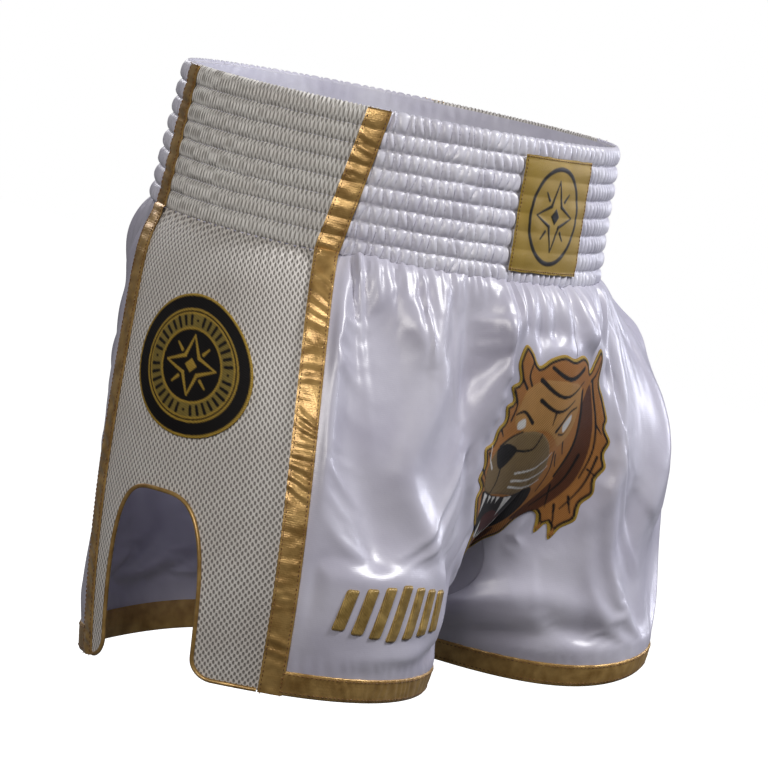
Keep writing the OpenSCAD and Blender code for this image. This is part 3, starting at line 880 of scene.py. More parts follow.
class Topstitch:
    """Rows of sewing stitches, set along polylines by a node tree."""

    PITCH = 3.0
    COVERED = 0.7
    THREAD = 0.33
    SEED = 7

    def __init__(self) -> None:
        """Builds the tree once."""
        tree, self.keys = node_group("topstitch", {
            "Stitch Pitch": "NodeSocketFloat", "Stitch Length": "NodeSocketFloat",
            "Thread Radius": "NodeSocketFloat", "Seed": "NodeSocketInt", "Thread": "NodeSocketMaterial",
        })
        into = add_node(tree, "NodeGroupInput").outputs
        line = add_node(tree, "GeometryNodeMeshToCurve", {"Mesh": into["Geometry"]}).outputs["Curve"]
        even = add_node(
            tree, "GeometryNodeResampleCurve", {"Curve": line, "Length": into["Stitch Pitch"]}, mode="LENGTH"
        ).outputs["Curve"]
        tangent = add_node(tree, "GeometryNodeInputTangent").outputs["Tangent"]
        turn = add_node(
            tree, "FunctionNodeAlignRotationToVector", {"Vector": tangent}, axis="Z"
        ).outputs["Rotation"]
        bead = add_node(
            tree, "GeometryNodeMeshUVSphere", {"Segments": 6, "Rings": 4, "Radius": 1.0}
        ).outputs["Mesh"]
        half = add_node(
            tree, "ShaderNodeMath", {0: into["Stitch Length"], 1: 0.5}, operation="MULTIPLY"
        ).outputs[0]
        size = add_node(
            tree, "ShaderNodeCombineXYZ", {0: into["Thread Radius"], 1: into["Thread Radius"], 2: half}
        ).outputs["Vector"]
        stitch = add_node(
            tree, "GeometryNodeTransform", {"Geometry": bead, "Scale": size}
        ).outputs["Geometry"]
        vary = add_node(
            tree, "FunctionNodeRandomValue", {2: 0.85, 3: 1.1, "Seed": into["Seed"]}, data_type="FLOAT"
        ).outputs[1]
        spread = add_node(
            tree, "GeometryNodeInstanceOnPoints",
            {"Points": even, "Instance": stitch, "Rotation": turn, "Scale": vary},
        ).outputs["Instances"]
        close_tree(tree, spread, into["Thread"])
        self.tree = tree

    def sew(self, name: str, lines: Sequence[Array], look: Look, slot: str, pitch: float = PITCH) -> Piece:
        """Makes one piece of all the stitches along the lines.

        Args:
            name: the piece's name.
            lines: polylines in millimetres.
            look: the thread's finish.
            slot: the record's material slot.
            pitch: distance between two stitches.

        Returns:
            The stitches as a plain mesh on the body.
        """
        piece = grow(name, lines, self.tree, self.keys, {
            "Stitch Pitch": pitch * MM, "Stitch Length": self.COVERED * pitch * MM,
            "Thread Radius": self.THREAD * MM, "Seed": self.SEED, "Thread": look.material(),
        })
        return settle(piece, look, slot)


# ---- the waistband ----


class Gathers:
    """Places of the little folds along a stitch line: even on average, uneven in detail."""

    def __init__(self, pitch: float, lines: int, seed: int, half: float = 520.0) -> None:
        """Draws the folds of every stitch line.

        Args:
            pitch: mean width of a fold.
            lines: how many stitch lines.
            seed: picks the random draw.
            half: how far the lines run to each side.
        """
        rng = np.random.default_rng(seed)
        count = int(half / pitch) + 2
        self.turns = np.arange(-count, count + 1, dtype=float)
        self.knots = [(self.turns + rng.uniform(-0.36, 0.36, len(self.turns))) * pitch for _ in range(lines)]

    def phase(self, x: Array, line: int) -> Array:
        """How many folds lie between zero and x on a stitch line."""
        return np.interp(x, self.knots[line], self.turns)

    def ridge(self, x: Array, line: int) -> Array:
        """Round crowns with sharp creases between them, from 0 to 1."""
        return np.abs(np.sin(math.pi * self.phase(x, line))) ** 0.65

    def between(self, x: Array, share: Array, line: Array) -> Array:
        """Ridges that run from one stitch line to the next.

        Args:
            x: place along the band.
            share: 0 on the upper line to 1 on the lower.
            line: number of the upper line, for every point.

        Returns:
            The ridges, from 0 to 1.
        """
        blend = ease(share)
        total = np.zeros_like(x)
        for i in range(len(self.knots) - 1):
            turns = self.phase(x, i) * (1 - blend) + self.phase(x, i + 1) * blend
            total = np.where(line == i, np.abs(np.sin(math.pi * turns)) ** 0.65, total)
        return total


@dataclass
class Waistband:
    """Elastic waistband: satin in front and behind, net at the sides, eight shirred rows."""

    stitch: Topstitch
    girth: float = 944.0
    satin_pitch: float = 5.6
    net_pitch: float = 2.9
    satin_depth: float = 2.55
    net_depth: float = 1.2
    satin_step: float = 0.74
    net_step: float = 0.62
    back_start: float = 0.72
    crown: float = 3.15
    back_of_cloth: float = -0.9
    elastic: tuple[float, float] = (-2.3, -1.1)
    facing: tuple[float, float] = (-3.3, -2.5)
    rib: float = 9.0

    def __post_init__(self) -> None:
        """Draws where the cloth gathers."""
        lines = FORM.rows + 1
        self.satin_folds = Gathers(self.satin_pitch, lines, 11)
        self.net_folds = Gathers(self.net_pitch, lines, 23)

    def relief(self, x: Array, h: Array, folds: Gathers, depth: float, seed: int) -> Array:
        """How far the gathered cloth stands out.

        Args:
            x: millimetres along the band from centre front.
            h: millimetres down from the top edge.
            folds: where the cloth gathers.
            depth: height of a fold.
            seed: picks the slow unevenness.

        Returns:
            Millimetres outside the band's middle surface.
        """
        pitch = FORM.band_height / FORM.rows
        line = np.clip(np.floor(h / pitch), 0, FORM.rows - 1)
        share = np.clip(h / pitch - line, 0, 1)
        ridge = folds.between(x, share, line)
        puff = np.sin(math.pi * share) ** 0.55
        swell = 1 + 0.22 * soft_noise(x / 15, line * 3.3 + share, seed)
        return np.minimum(0.3 + puff * (self.crown - 0.4 - depth + depth * ridge * swell), self.crown)

    def section(
        self, name: str, side: Array, t: Array, x: Array, h: Array, folds: Gathers, depth: float,
        look: Look, slot: str,
    ) -> Piece:
        """Makes one section of the band.

        Args:
            name: the piece's name and the solid's.
            side: side of every point.
            t: place round the waist of every point.
            x: millimetres along the band.
            h: millimetres down from the top.
            folds: where the cloth gathers.
            depth: height of a fold.
            look: the finish.
            slot: the record's material slot.

        Returns:
            The section.
        """
        n = self.relief(x, h, folds, depth, 31)
        pitch = FORM.band_height / FORM.rows
        sink = 0.35 * soft_noise(x / 9, 2.5, 37) * bell(h - np.round(h / pitch) * pitch, 2.0)
        lip = 1.5 * folds.ridge(x, 0) * np.exp(-h / 2.5)
        outer = FORM.ring(side, h - lip + sink * (h > 1) * (h < FORM.band_height - 1), t, n)
        inner = FORM.ring(side, h - lip, t, np.full_like(n, self.back_of_cloth))
        piece = shell_object(name, outer, inner, np.stack([x, h], -1))
        return settle(piece, look, slot, name)

    def build(self) -> dict[str, Piece]:
        """Makes every section, the elastic, the facing and the stitch rows."""
        made = {}
        rows = np.linspace(0, FORM.band_height, FORM.rows * 10 + 1)[:, None]
        half = self.girth / 2
        for name, back in (("waistband_front", False), ("waistband_back", True)):
            reach = (1 - FORM.band_back(rows)) if back else FORM.band_front(rows)
            count = int(2 * reach[0, 0] * half / self.satin_step)
            u = np.linspace(-1, 1, count + 1)[None, :]
            t = np.abs(u) * reach
            # The back takes its folds from further along the same stitch lines.
            x = u * reach * half + (self.back_start * half if back else 0)
            side = np.where(u < 0, -1.0, 1.0) * np.ones_like(t)
            made[name] = self.section(
                name, side, 1 - t if back else t, x, rows * np.ones_like(t), self.satin_folds,
                self.satin_depth, Look.SHIRRED, "satin_white",
            )
        rows = np.linspace(0, FORM.band_height, FORM.rows * 12 + 1)[:, None]
        for side in Side:
            name = f"waistband_side_{side.word}"
            a, b = FORM.band_front(rows), FORM.band_back(rows)
            count = int((b - a)[0, 0] * half / self.net_step)
            t = a + (b - a) * np.linspace(0, 1, count + 1)[None, :]
            made[name] = self.section(
                name, np.full_like(t, side.value), t, t * half, rows * np.ones_like(t), self.net_folds,
                self.net_depth, Look.NET_SHIRRED, "mesh_white",
            )
        made["waist_elastic"] = self.tube(
            "waist_elastic", *self.elastic, 0.12, self.rib, Look.ELASTIC, "elastic_white"
        )
        made["waist_facing"] = self.tube(
            "waist_facing", *self.facing, 0.7, self.rib, Look.SHIRRED, "satin_white"
        )
        lines = []
        turn = np.linspace(0, 2, 481)
        side, t = np.where(turn < 1, -1.0, 1.0), np.where(turn < 1, turn, 2 - turn)
        for i in range(1, FORM.rows):
            h = FORM.band_height * i / FORM.rows
            lines.append(FORM.ring(side, np.full_like(t, h), t, np.full_like(t, 0.55)))
        made["stitches_waist"] = self.stitch.sew(
            "stitches_waist", lines, Look.WHITE_STITCH, "satin_white", 3.4
        )
        return made

    def tube(
        self, name: str, low: float, high: float, depth: float, pitch: float, look: Look, slot: str
    ) -> Piece:
        """Makes a ring of cloth or elastic inside the band.

        Args:
            name: the piece's name and the solid's.
            low: its inner face.
            high: its outer face.
            depth: how deep its inner face is ribbed.
            pitch: width of a rib.
            look: the finish.
            slot: the record's material slot.

        Returns:
            The ring.
        """
        h = np.linspace(0.8, FORM.band_height - 0.8, 33)[:, None]
        count = 2 * int(self.girth / 4.4)
        turn = np.linspace(0, 2, count + 1)[None, :-1]
        side, t = np.where(turn < 1, -1.0, 1.0), np.where(turn < 1, turn, 2 - turn)
        x = turn * self.girth / 2 * np.ones_like(h)
        wave = 0.5 - 0.5 * np.cos(2 * math.pi * (x / pitch + 0.4 * soft_noise(x / 12, h / 12, 5)))
        row = np.abs(np.sin(math.pi * FORM.rows * h / FORM.band_height)) ** 0.6
        inner = FORM.ring(side, h, t, low - depth * wave * row)
        outer = FORM.ring(side, h, t, high)
        piece = shell_object(name, inner, outer, np.stack([x, h * np.ones_like(x)], -1), wrap=True)
        return settle(piece, look, slot, name)


# ---- the satin body ----


class ClothDrape:
    """Lets a panel, cut larger than the place it is sewn into, fall into its folds."""

    FRAMES = 36
    GRAVITY = 0.25
    SETTINGS = {
        "quality": 7, "mass": 0.15, "air_damping": 3.0, "tension_stiffness": 15,
        "compression_stiffness": 15, "shear_stiffness": 4, "bending_stiffness": 0.35,
        "tension_damping": 8, "compression_damping": 8, "shear_damping": 8, "bending_damping": 0.6,
        "vertex_group_mass": "hold", "pin_stiffness": 1.0, "use_pressure": True,
        "uniform_pressure_force": 0.35,
    }

    def relax(self, start: Array, cut: Array, hold: Array) -> Array:
        """Runs the cloth.

        Args:
            start: the panel's points where it starts, rows by columns by three.
            cut: the same points on the flat cloth, rows by columns by two.
            hold: how firmly each point is held, from 0 to 1.

        Returns:
            The points where the cloth has come to rest.
        """
        rows, cols = start.shape[:2]
        ids = np.arange(rows * cols).reshape(rows, cols)
        quads = np.stack([ids[:-1, :-1], ids[1:, :-1], ids[1:, 1:], ids[:-1, 1:]], -1).reshape(-1, 4)
        panel = mesh_object("drape_work", start.reshape(-1, 3), quads)
        panel.shape_key_add(name="sewn")
        key = panel.shape_key_add(name="cut")
        flat = np.concatenate([cut.reshape(-1, 2), np.zeros((rows * cols, 1))], 1) * MM
        key.data.foreach_set("co", flat.astype(np.float32).ravel())
        group = panel.vertex_groups.new(name="hold")
        for level in np.unique(np.round(hold, 2)):
            if level > 0:
                chosen = np.flatnonzero(np.round(hold, 2).ravel() == level)
                group.add(chosen.tolist(), float(level), "REPLACE")
        cloth = panel.modifiers.new("cloth", "CLOTH")
        for label, value in self.SETTINGS.items():
            setattr(cloth.settings, label, value)
        cloth.settings.rest_shape_key = key
        cloth.settings.effector_weights.gravity = self.GRAVITY
        cloth.collision_settings.use_collision = False
        cloth.point_cache.frame_end = self.FRAMES
        scene = bpy.context.scene
        for number in range(1, self.FRAMES + 1):
            scene.frame_set(number)
        view = bpy.context.evaluated_depsgraph_get()
        points = np.empty(rows * cols * 3, np.float32)
        panel.evaluated_get(view).data.vertices.foreach_get("co", points)
        mesh = panel.data
        bpy.data.objects.remove(panel)
        bpy.data.meshes.remove(mesh)
        scene.frame_set(1)
        return points.reshape(rows, cols, 3).astype(float) / MM


# Millimetres of cloth for one unit of t, half way down the body and round the mark.
PANEL_SPAN = 690.0
MARK_SPAN = 640.0
# Place of the raised mark's middle, down and round the body.
MARK_S, MARK_T = 0.78, 0.278


@dataclass(frozen=True)
class Crease:
    """One broad soft fold or hollow of a panel, in shares of the form."""

    side: Side
    front: bool
    path: tuple[tuple[float, float], ...]
    width: float
    height: float

    def lift(self, s: Array, t: Array) -> Array:
        """Millimetres outside the form, fading towards the fold's two ends."""
        scale = np.array([PANEL_SPAN, FORM.body_height.mean])
        line = smooth_loop(self.path, False, 5) * scale
        gap, share = line_distance(np.stack([t, s], -1) * scale, line)
        return self.height * bell(gap, self.width) * (0.35 + 0.65 * np.sin(math.pi * share))


CREASES = (
    Crease(Side.RIGHT, True, ((0.31, 0.02), (0.22, 0.2), (0.27, 0.45), (0.215, 0.7), (0.25, 0.9)), 13, 6.5),
    Crease(Side.RIGHT, True, ((0.34, 0.18), (0.33, 0.42), (0.30, 0.62), (0.33, 0.80)), 15, -6.0),
    Crease(Side.RIGHT, True, ((0.13, 0.02), (0.115, 0.30), (0.12, 0.58)), 8, 5.5),
    Crease(Side.RIGHT, True, ((0.165, 0.08), (0.16, 0.40), (0.15, 0.62)), 10, -5.0),
    Crease(Side.RIGHT, True, ((0.10, 0.66), (0.16, 0.72), (0.22, 0.66)), 16, -5.0),
    Crease(Side.LEFT, True, ((0.13, 0.03), (0.17, 0.30), (0.155, 0.55)), 11, 5.5),
    Crease(Side.LEFT, True, ((0.19, 0.08), (0.22, 0.40), (0.20, 0.70)), 13, -5.0),
    Crease(Side.LEFT, True, ((0.26, 0.03), (0.27, 0.30), (0.25, 0.60), (0.28, 0.85)), 13, 5.0),
    Crease(Side.LEFT, True, ((0.03, 0.88), (0.10, 0.78), (0.18, 0.80)), 10, 4.5),
    Crease(Side.LEFT, True, ((0.05, 0.96), (0.12, 0.88), (0.22, 0.86)), 10, -4.0),
    Crease(Side.RIGHT, False, ((0.90, 0.04), (0.86, 0.35), (0.88, 0.70)), 14, 6.0),
    Crease(Side.RIGHT, False, ((0.80, 0.05), (0.78, 0.40), (0.80, 0.75)), 16, -5.0),
    Crease(Side.RIGHT, False, ((0.73, 0.03), (0.72, 0.40), (0.70, 0.80)), 13, 5.5),
    Crease(Side.LEFT, False, ((0.92, 0.05), (0.87, 0.30), (0.90, 0.62)), 15, 5.5),
    Crease(Side.LEFT, False, ((0.82, 0.06), (0.80, 0.45), (0.83, 0.80)), 14, -5.5),
    Crease(Side.LEFT, False, ((0.75, 0.03), (0.73, 0.45), (0.74, 0.80)), 12, 6.0),
)


@dataclass
class SatinBody:
    """Front and back panels and the gusset, gathered onto the waistband."""

    waist: Waistband
    rows: int = 92
    cols: int = 88
    thick: float = 0.8
    limit: float = 13.0
    mark_hold: tuple[float, float] = (48.0, 17.0)

    def __post_init__(self) -> None:
        """Draws the folds that start at the waistband."""
        self.medium = Gathers(13.0, 2, 41)
        self.broad = Gathers(31.0, 2, 43)
        self.drape = ClothDrape()

    def place(self, front: bool) -> tuple[Array, Array]:
        """The panel's grid as shares of the form."""
        s = np.linspace(0, 1, self.rows + 1)[:, None]
        u = np.linspace(0, 1, self.cols + 1)[None, :]
        gusset = FORM.gusset_edge(s)
        if front:
            t = gusset + (FORM.edge_front(s) - gusset) * u
        else:
            t = (1 - gusset) + (FORM.edge_back(s) - (1 - gusset)) * u
        return s * np.ones_like(t), t

    def held(self, side: Side, front: bool, s: Array, t: Array, run: Array) -> Array:
        """How firmly seams, trims and embroidery hold the cloth, from 0 to 1.

        Args:
            side: the wearer's side.
            front: True for a front panel.
            s: place down the body.
            t: place round the body.
            run: millimetres of cloth from the centre seam.

        Returns:
            The hold of every point.
        """
        to_stripe = run[:, -1:] - run
        hem = (1 - s) * FORM.body_height.mean
        zone = ease(1 - (to_stripe - 8.5) / 12)
        zone = np.maximum(zone, ease(1 - (hem - 16) / 16))
        seam = np.where(FORM.gusset_edge(s) > 0, ease(1 - run / 7), 0)
        zone = np.maximum(zone, seam)
        if front:
            u, v = run * side.value, s * FORM.body_height.mean * CatPatch.SPAN
            loop = np.stack(CatPatch.spread(*CatPatch.loop().T), -1)
            patch, _ = outline_distance(np.stack([u, v], -1), loop)
            zone = np.maximum(zone, ease(1 - (patch - 2.5) / 15))
            if side is Side.RIGHT:
                across, down = np.abs(t - MARK_T) * MARK_SPAN, np.abs(s - MARK_S) * FORM.body_height.mean
                mark = np.maximum(across - self.mark_hold[0], down - self.mark_hold[1])
                zone = np.maximum(zone, ease(1 - mark / 16))
        return zone

    def folds(self, side: Side, front: bool, s: Array, t: Array, gathers: bool = False) -> Array:
        """Folds that the cloth starts with, before it falls.

        Args:
            side: the wearer's side.
            front: True for a front panel.
            s: place down the body.
            t: place round the body.
            gathers: True for the folds at the waistband alone.

        Returns:
            Millimetres outside the form.
        """
        down = s * FORM.body_height.mean
        seed = 50 + side.value * 3 + int(front)
        centre = 0.0 if front else 1.0
        half = self.waist.girth / 2
        x = (t - centre) * side.value * half + (0.0 if front else half)
        drift = x + 9 * (down / 90) * soft_noise(x / 48, down / 95, seed)
        fine = self.waist.satin_folds.ridge(x, FORM.rows)
        medium = self.medium.ridge(drift, 0) * 2 - 1
        broad = np.sin(math.pi * self.broad.phase(drift + 4 * soft_noise(x / 30, down / 60, seed + 9), 1))
        n = 2.2 * fine * np.exp(-down / 9)
        uneven = 0.75 + 0.5 * soft_noise(x / 22, down / 40, seed + 2)
        n = n + 3.0 * medium * (1 - np.exp(-(down + 1.5) / 7)) * np.exp(-down / 42) * uneven
        n = n + 4.4 * broad * ease(down / 34) * np.exp(-np.maximum(down - 60, 0) / 62)
        if gathers:
            return n
        n = n + 4.2 * soft_noise(x / 62 + down / 110, down / 74 - x / 160, seed + 4) * ease(down / 60)
        n = n + 2.6 * soft_noise(x / 30 + down / 50, down / 42, seed + 5) * ease(down / 80)
        return n

    def panel(self, side: Side, front: bool) -> Piece:
        """Makes one panel."""
        name = f"{'front' if front else 'back'}_panel_{side.word}"
        s, t = self.place(front)
        base, out = FORM.shell(side.value, s, t), FORM.out(side.value, s, t)
        across = np.linalg.norm(np.diff(base, axis=1), axis=-1)
        run = np.concatenate([np.zeros((len(s), 1)), np.cumsum(across, 1)], 1)
        zone = self.held(side, front, s, t, run)
        down = s * FORM.body_height.mean
        waves = self.folds(side, front, s, t)
        top = bell(down, 7.0)
        upper = (s < FORM.crotch - FORM.gusset_up) * 1.0
        groove = -2.2 * bell(run, 4.0) * upper * ease(down / 12)
        waves = waves * (1 - zone) * (1 - 0.8 * bell(run, 6.0) * upper) + groove * (1 - zone)
        start = base + out * (waves + 0.2)[..., None]
        pins = np.maximum(zone, ease(1 - down / 3.5))
        pins = np.maximum(pins, 0.9 * bell(run, 2.5) * upper)
        pins[0] = 1
        lower = np.linalg.norm(np.diff(base, axis=0), axis=-1)
        fall = np.concatenate([np.zeros((1, s.shape[1])), np.cumsum(lower, 0)], 0)
        fullness = 1.05 + 0.62 * np.exp(-s / 0.17)
        cut = np.stack([run * fullness * side.value, -fall * 1.045], -1)
        rest = self.drape.relax(start, cut, np.clip(pins, 0, 1))
        move = rest - base
        length = np.linalg.norm(move, axis=-1, keepdims=True)
        start = base + move * (self.limit * np.tanh(length / self.limit) / np.maximum(length, 1e-6))
        start = start + out * (0.75 * self.folds(side, front, s, t, True) * (1 - zone))[..., None]
        own = [crease for crease in CREASES if crease.side is side and crease.front == front]
        broad = sum(crease.lift(s, t) for crease in own)
        start = start + out * (broad * (1 - zone))[..., None]
        puckers = 0.5 * np.sin(2 * math.pi * (t * 700 / 8.5 + 0.5 * soft_noise(t * 60, s, 71)))
        puckers = puckers * bell((1 - s) * FORM.body_height.mean - 19, 6) * (1 - top)
        start = start + out * puckers[..., None]
        n = grid_normals(start, out)
        share = run / run[:, -1:]
        uv = np.stack([(share - 0.5) * 240, down], -1)
        piece = shell_object(name, start, start - n * self.thick, uv)
        smooth = piece.modifiers.new("smooth", "SUBSURF")
        smooth.levels = smooth.render_levels = 1
        return settle(piece, Look.SATIN, "satin_white", name)

    def gusset(self) -> Piece:
        """Makes the diamond gusset, a fan round the point where the legs part."""
        rho = np.linspace(0.015, 1, 15)[:, None]
        a = np.linspace(0, 360, 129)[None, :-1]
        q = np.floor(a / 90)
        b = a - 90 * q
        up = np.radians(np.where(q % 2 == 0, b, 90 - b))
        tuck = 1.03
        s = FORM.crotch + rho * tuck * (-FORM.gusset_up * np.cos(up) + FORM.gusset_down * np.sin(up))
        t = rho * tuck * FORM.gusset_wide * np.sin(2 * up)
        side = np.where(q < 2, -1.0, 1.0) * np.ones_like(t)
        t = np.where((q == 0) | (q == 3), t, 1 - t)
        base, out = FORM.shell(side, s, t), FORM.out(side, s, t)
        uv = np.stack([rho * 60 * np.cos(up), rho * 60 * np.sin(up)], -1)
        inset = 0.5
        piece = shell_object(
            "crotch_gusset", base - out * inset, base - out * (inset + self.thick), uv, wrap=True
        )
        return settle(piece, Look.SATIN, "satin_white", "crotch_gusset")

    def build(self) -> dict[str, Piece]:
        """Makes the four panels and the gusset."""
        made = {"crotch_gusset": self.gusset()}
        for side in Side:
            for front in (True, False):
                made |= named(self.panel(side, front))
        return made


# ---- the net side panels ----


@dataclass
class SidePanel:
    """Net panel with an arched vent, and the cord that binds the vent."""

    side: Side
    net: NetFinish = Look.NET.value
    per_pitch: int = 4
    dimple: float = 0.55
    thick: float = 0.9
    cord: float = 1.35

    def lower_edge(self, count: int = 150) -> Array:
        """Places along the panel's lower edge, closer together where it is steep."""
        a, b = FORM.vent_mid - FORM.vent_half, FORM.vent_mid + FORM.vent_half
        arch = FORM.vent_mid - FORM.vent_half * np.cos(np.linspace(0, math.pi, count))
        curve = FORM.corner_t * (1 - np.sin(np.linspace(0, math.pi / 2, 14)))
        return np.concatenate([
            np.linspace(FORM.edge_front(1.0), a - FORM.corner_t, 16)[:-1], (a - curve)[:-1], arch,
            (b + curve[::-1])[1:], np.linspace(b + FORM.corner_t, FORM.edge_back(1.0), 10)[1:],
        ])

    def build(self, trims: "Trims") -> dict[str, Piece]:
        """Makes the panel and its cord.

        Args:
            trims: makes the cord.

        Returns:
            Both pieces by name.
        """
        lo, hi = FORM.edge_front(1.0), FORM.edge_back(1.0)
        wide = (hi - lo) * FORM.per_t(self.side.value, 0.75, FORM.vent_mid)
        tall = FORM.body_height.mean + self.side.value * FORM.body_height.skew
        cols = int(round(wide / self.net.pitch_u * self.per_pitch))
        rows = int(round(tall / self.net.pitch_v * self.per_pitch))
        u, v = np.meshgrid(np.linspace(0, wide, cols + 1), np.linspace(0, tall, rows + 1))
        edge = self.lower_edge()
        path = np.stack([(edge - lo) / (hi - lo) * wide, FORM.vent_edge(edge) * tall], -1)
        loop = np.concatenate([path, [[wide + 9, tall + 9], [wide + 9, -9], [-9, -9], [-9, tall + 9]]])
        far, foot = outline_distance(np.stack([u, v], -1), loop)
        cell = tall / rows
        near = (far > 0) & (far < 1.3 * cell) & (v > FORM.vent_top * tall * 0.8)
        u, v = np.where(near, foot[..., 0], u), np.where(near, foot[..., 1], v)
        inside = (far <= 0) | near
        keep = inside[:-1, :-1] & inside[1:, :-1] & inside[1:, 1:] & inside[:-1, 1:]
        s = v / tall
        t = FORM.side_t(lo + (hi - lo) * u / wide, s)
        base, out = FORM.shell(self.side.value, s, t), FORM.out(self.side.value, s, t)
        holes = np.full_like(u, 9.0)
        for shift in (0.0, 0.5):
            cu = (u / self.net.pitch_u + shift) % 1 - 0.5
            cv = (v / self.net.pitch_v + shift) % 1 - 0.5
            holes = np.minimum(holes, np.hypot(self.net.narrow * cu, cv))
        hang = 0.8 * (soft_noise(u / 55, v / 70, 61 + self.side.value) - 0.55)
        hang = hang * ease(v / 60) * ease(u / 25) * ease((wide - u) / 25)
        gather = 0.9 * np.sin(2 * math.pi * u / 5.8) * np.exp(-v / 7)
        relief = hang + gather - self.dimple * ease(1 - (holes - 0.1) / 0.32)
        outer = base + out * relief[..., None]
        inner = base + out * (hang + gather - self.thick)[..., None]
        name = f"side_panel_{self.side.word}"
        panel = shell_object(name, outer, inner, np.stack([u, v], -1), keep=keep)
        settle(panel, Look.NET, "mesh_white", name)
        margin = 8.2 / FORM.per_t(self.side.value, 1.0, lo)
        edge = np.clip(edge, lo + margin, hi - margin)
        edge = edge[np.concatenate([[True], np.diff(edge) > 0])]
        s = FORM.vent_edge(edge)
        t = FORM.side_t(edge, s)
        name = f"vent_piping_{self.side.word}"
        cord = trims.pipe(name, FORM.shell(self.side.value, s, t), self.cord)
        settle(cord, Look.GOLD, "satin_gold", name)
        return named(panel, cord)


# ---- satin tapes ----


class Trims:
    """Gold stripes, hem bindings and the cord round each vent."""

    STRIPE = 15.0
    BINDING = 15.0
    OVER_BAND = 3.35
    INSET = 1.5
    CORD_STEP = 1.2
    CORD_SIDES = 10

    def __init__(self, stitch: Topstitch) -> None:
        """Builds the node tree that sweeps a cord along a path."""
        self.stitch = stitch
        tree, self.keys = node_group("piping", {
            "Cord Radius": "NodeSocketFloat", "Sides": "NodeSocketInt", "Cloth": "NodeSocketMaterial",
        })
        into = add_node(tree, "NodeGroupInput").outputs
        line = add_node(tree, "GeometryNodeMeshToCurve", {"Mesh": into["Geometry"]}).outputs["Curve"]
        even = add_node(
            tree, "GeometryNodeResampleCurve", {"Curve": line, "Length": self.CORD_STEP * MM}, mode="LENGTH"
        ).outputs["Curve"]
        ring = add_node(
            tree, "GeometryNodeCurvePrimitiveCircle",
            {"Resolution": into["Sides"], "Radius": into["Cord Radius"]}, mode="RADIUS",
        ).outputs["Curve"]
        tube = add_node(
            tree, "GeometryNodeCurveToMesh", {"Curve": even, "Profile Curve": ring, "Fill Caps": True}
        ).outputs["Mesh"]
        close_tree(tree, tube, into["Cloth"])
        self.tree = tree

    def pipe(self, name: str, path: Array, radius: float) -> Piece:
        """Sweeps a cord.

        Args:
            name: the piece's name.
            path: its centreline in millimetres.
            radius: its radius in millimetres.

        Returns:
            The cord as a plain mesh.
        """
        piece = grow(PREFIX + name, [path], self.tree, self.keys, {
            "Cord Radius": radius * MM, "Sides": self.CORD_SIDES, "Cloth": Look.GOLD.material(),
        })
        made = piece.data
        layer = made.uv_layers.get("cloth") or made.uv_layers.new(name="cloth")
        corner = np.empty(len(made.loops), np.int32)
        made.loops.foreach_get("vertex_index", corner)
        co = np.empty(len(made.vertices) * 3, np.float32)
        made.vertices.foreach_get("co", co)
        layer.data.foreach_set("uv", co.reshape(-1, 3)[corner][:, [1, 2]].ravel())
        return piece

    def pucker(self, run: Array, across: Array, pitch: float, seed: int) -> Array:
        """Crosswise creases of a tape, held flat where it is sewn near its edges.

        Args:
            run: millimetres along the tape.
            across: -1 to 1 across it.
            pitch: mean distance between two creases.
            seed: picks the unevenness.

        Returns:
            A height from -1 to 1.
        """
        slant = across * (0.5 * soft_noise(run / 21, 0, seed) + 0.15)
        wave = np.sin(2 * math.pi * (run / pitch + slant + 0.9 * soft_noise(run / 17, 4, seed + 1)))
        small = soft_noise(run / 3.1, across * 1.6, seed + 2)
        strength = 0.55 + 0.45 * soft_noise(run / 25, 9, seed + 3)
        return (0.75 * wave * strength + 0.35 * small) * (1 - 0.75 * np.abs(across) ** 3)

    def stripe(self, side: Side, front: bool) -> Piece:
        """Makes one stripe from the top of the waistband to the hem, and its two rows of stitches."""
        name = f"{'front' if front else 'back'}_stripe_{side.word}"
        band, body = (FORM.band_front, FORM.edge_front) if front else (FORM.band_back, FORM.edge_back)
        k = np.linspace(-1, 1, 13)[None, :]
        h = np.linspace(-0.9, FORM.band_height - 2, 116)[:, None]
        s = np.linspace(0.010, 1.0035, 230)[:, None]
        seed = 80 + side.value * 2 + int(front)

        def points(lift: float, share: Array, flat: bool) -> Array:
            """The tape's points at the given places across it."""
            width = self.STRIPE / 2
            row = np.abs(np.sin(math.pi * FORM.rows * h / FORM.band_height)) ** 0.7
            run_band, run_body = h, FORM.band_height + s * FORM.body_height.mean
            bow = 0.35 * (1 - share**4)
            pucker_band = self.pucker(run_band, share, 7.5, seed)
            pucker_body = self.pucker(run_body, share, 9.5, seed)
            n_band = self.OVER_BAND - 0.35 + 0.75 * row + bow + lift + (0.45 * pucker_band if not flat else 0)
            drop = (self.OVER_BAND - 0.2) * np.exp(-(s * FORM.body_height.mean - 2.6) / 2.4)
            n_body = np.maximum(1.05 + drop + bow + (0.95 * pucker_body if not flat else 0), 0.85) + lift
            per_band = self.waist_scale()
            top = FORM.ring(side.value, h, band(h) + share * width / per_band, n_band)
            per_body = np.array([FORM.per_t(side.value, min(1.0, float(x)), float(body(x))) for x in s[:, 0]])
            t = body(s) + share * width / per_body[:, None]
            low = FORM.at(side.value, s, t, n_body)
            return np.concatenate([top, low])

        outer = points(0.0, k, False)
        along = np.concatenate([h, FORM.band_height + s * FORM.body_height.mean]) * np.ones_like(k)
        uv = np.stack([k * self.STRIPE / 2 * np.ones_like(along), along], -1)
        piece = shell_object(name, outer, points(-0.75, k, True), uv)
        settle(piece, Look.GOLD, "satin_gold", name)
        sewn_at = 1 - 2 * self.INSET / self.STRIPE
        seam = points(0.18, np.array([[-sewn_at, sewn_at]]), True)
        self.stitch.sew(f"stitches_{name}", [seam[:, 0], seam[:, 1]], Look.GOLD_STITCH, "satin_gold", 2.8)
        return piece

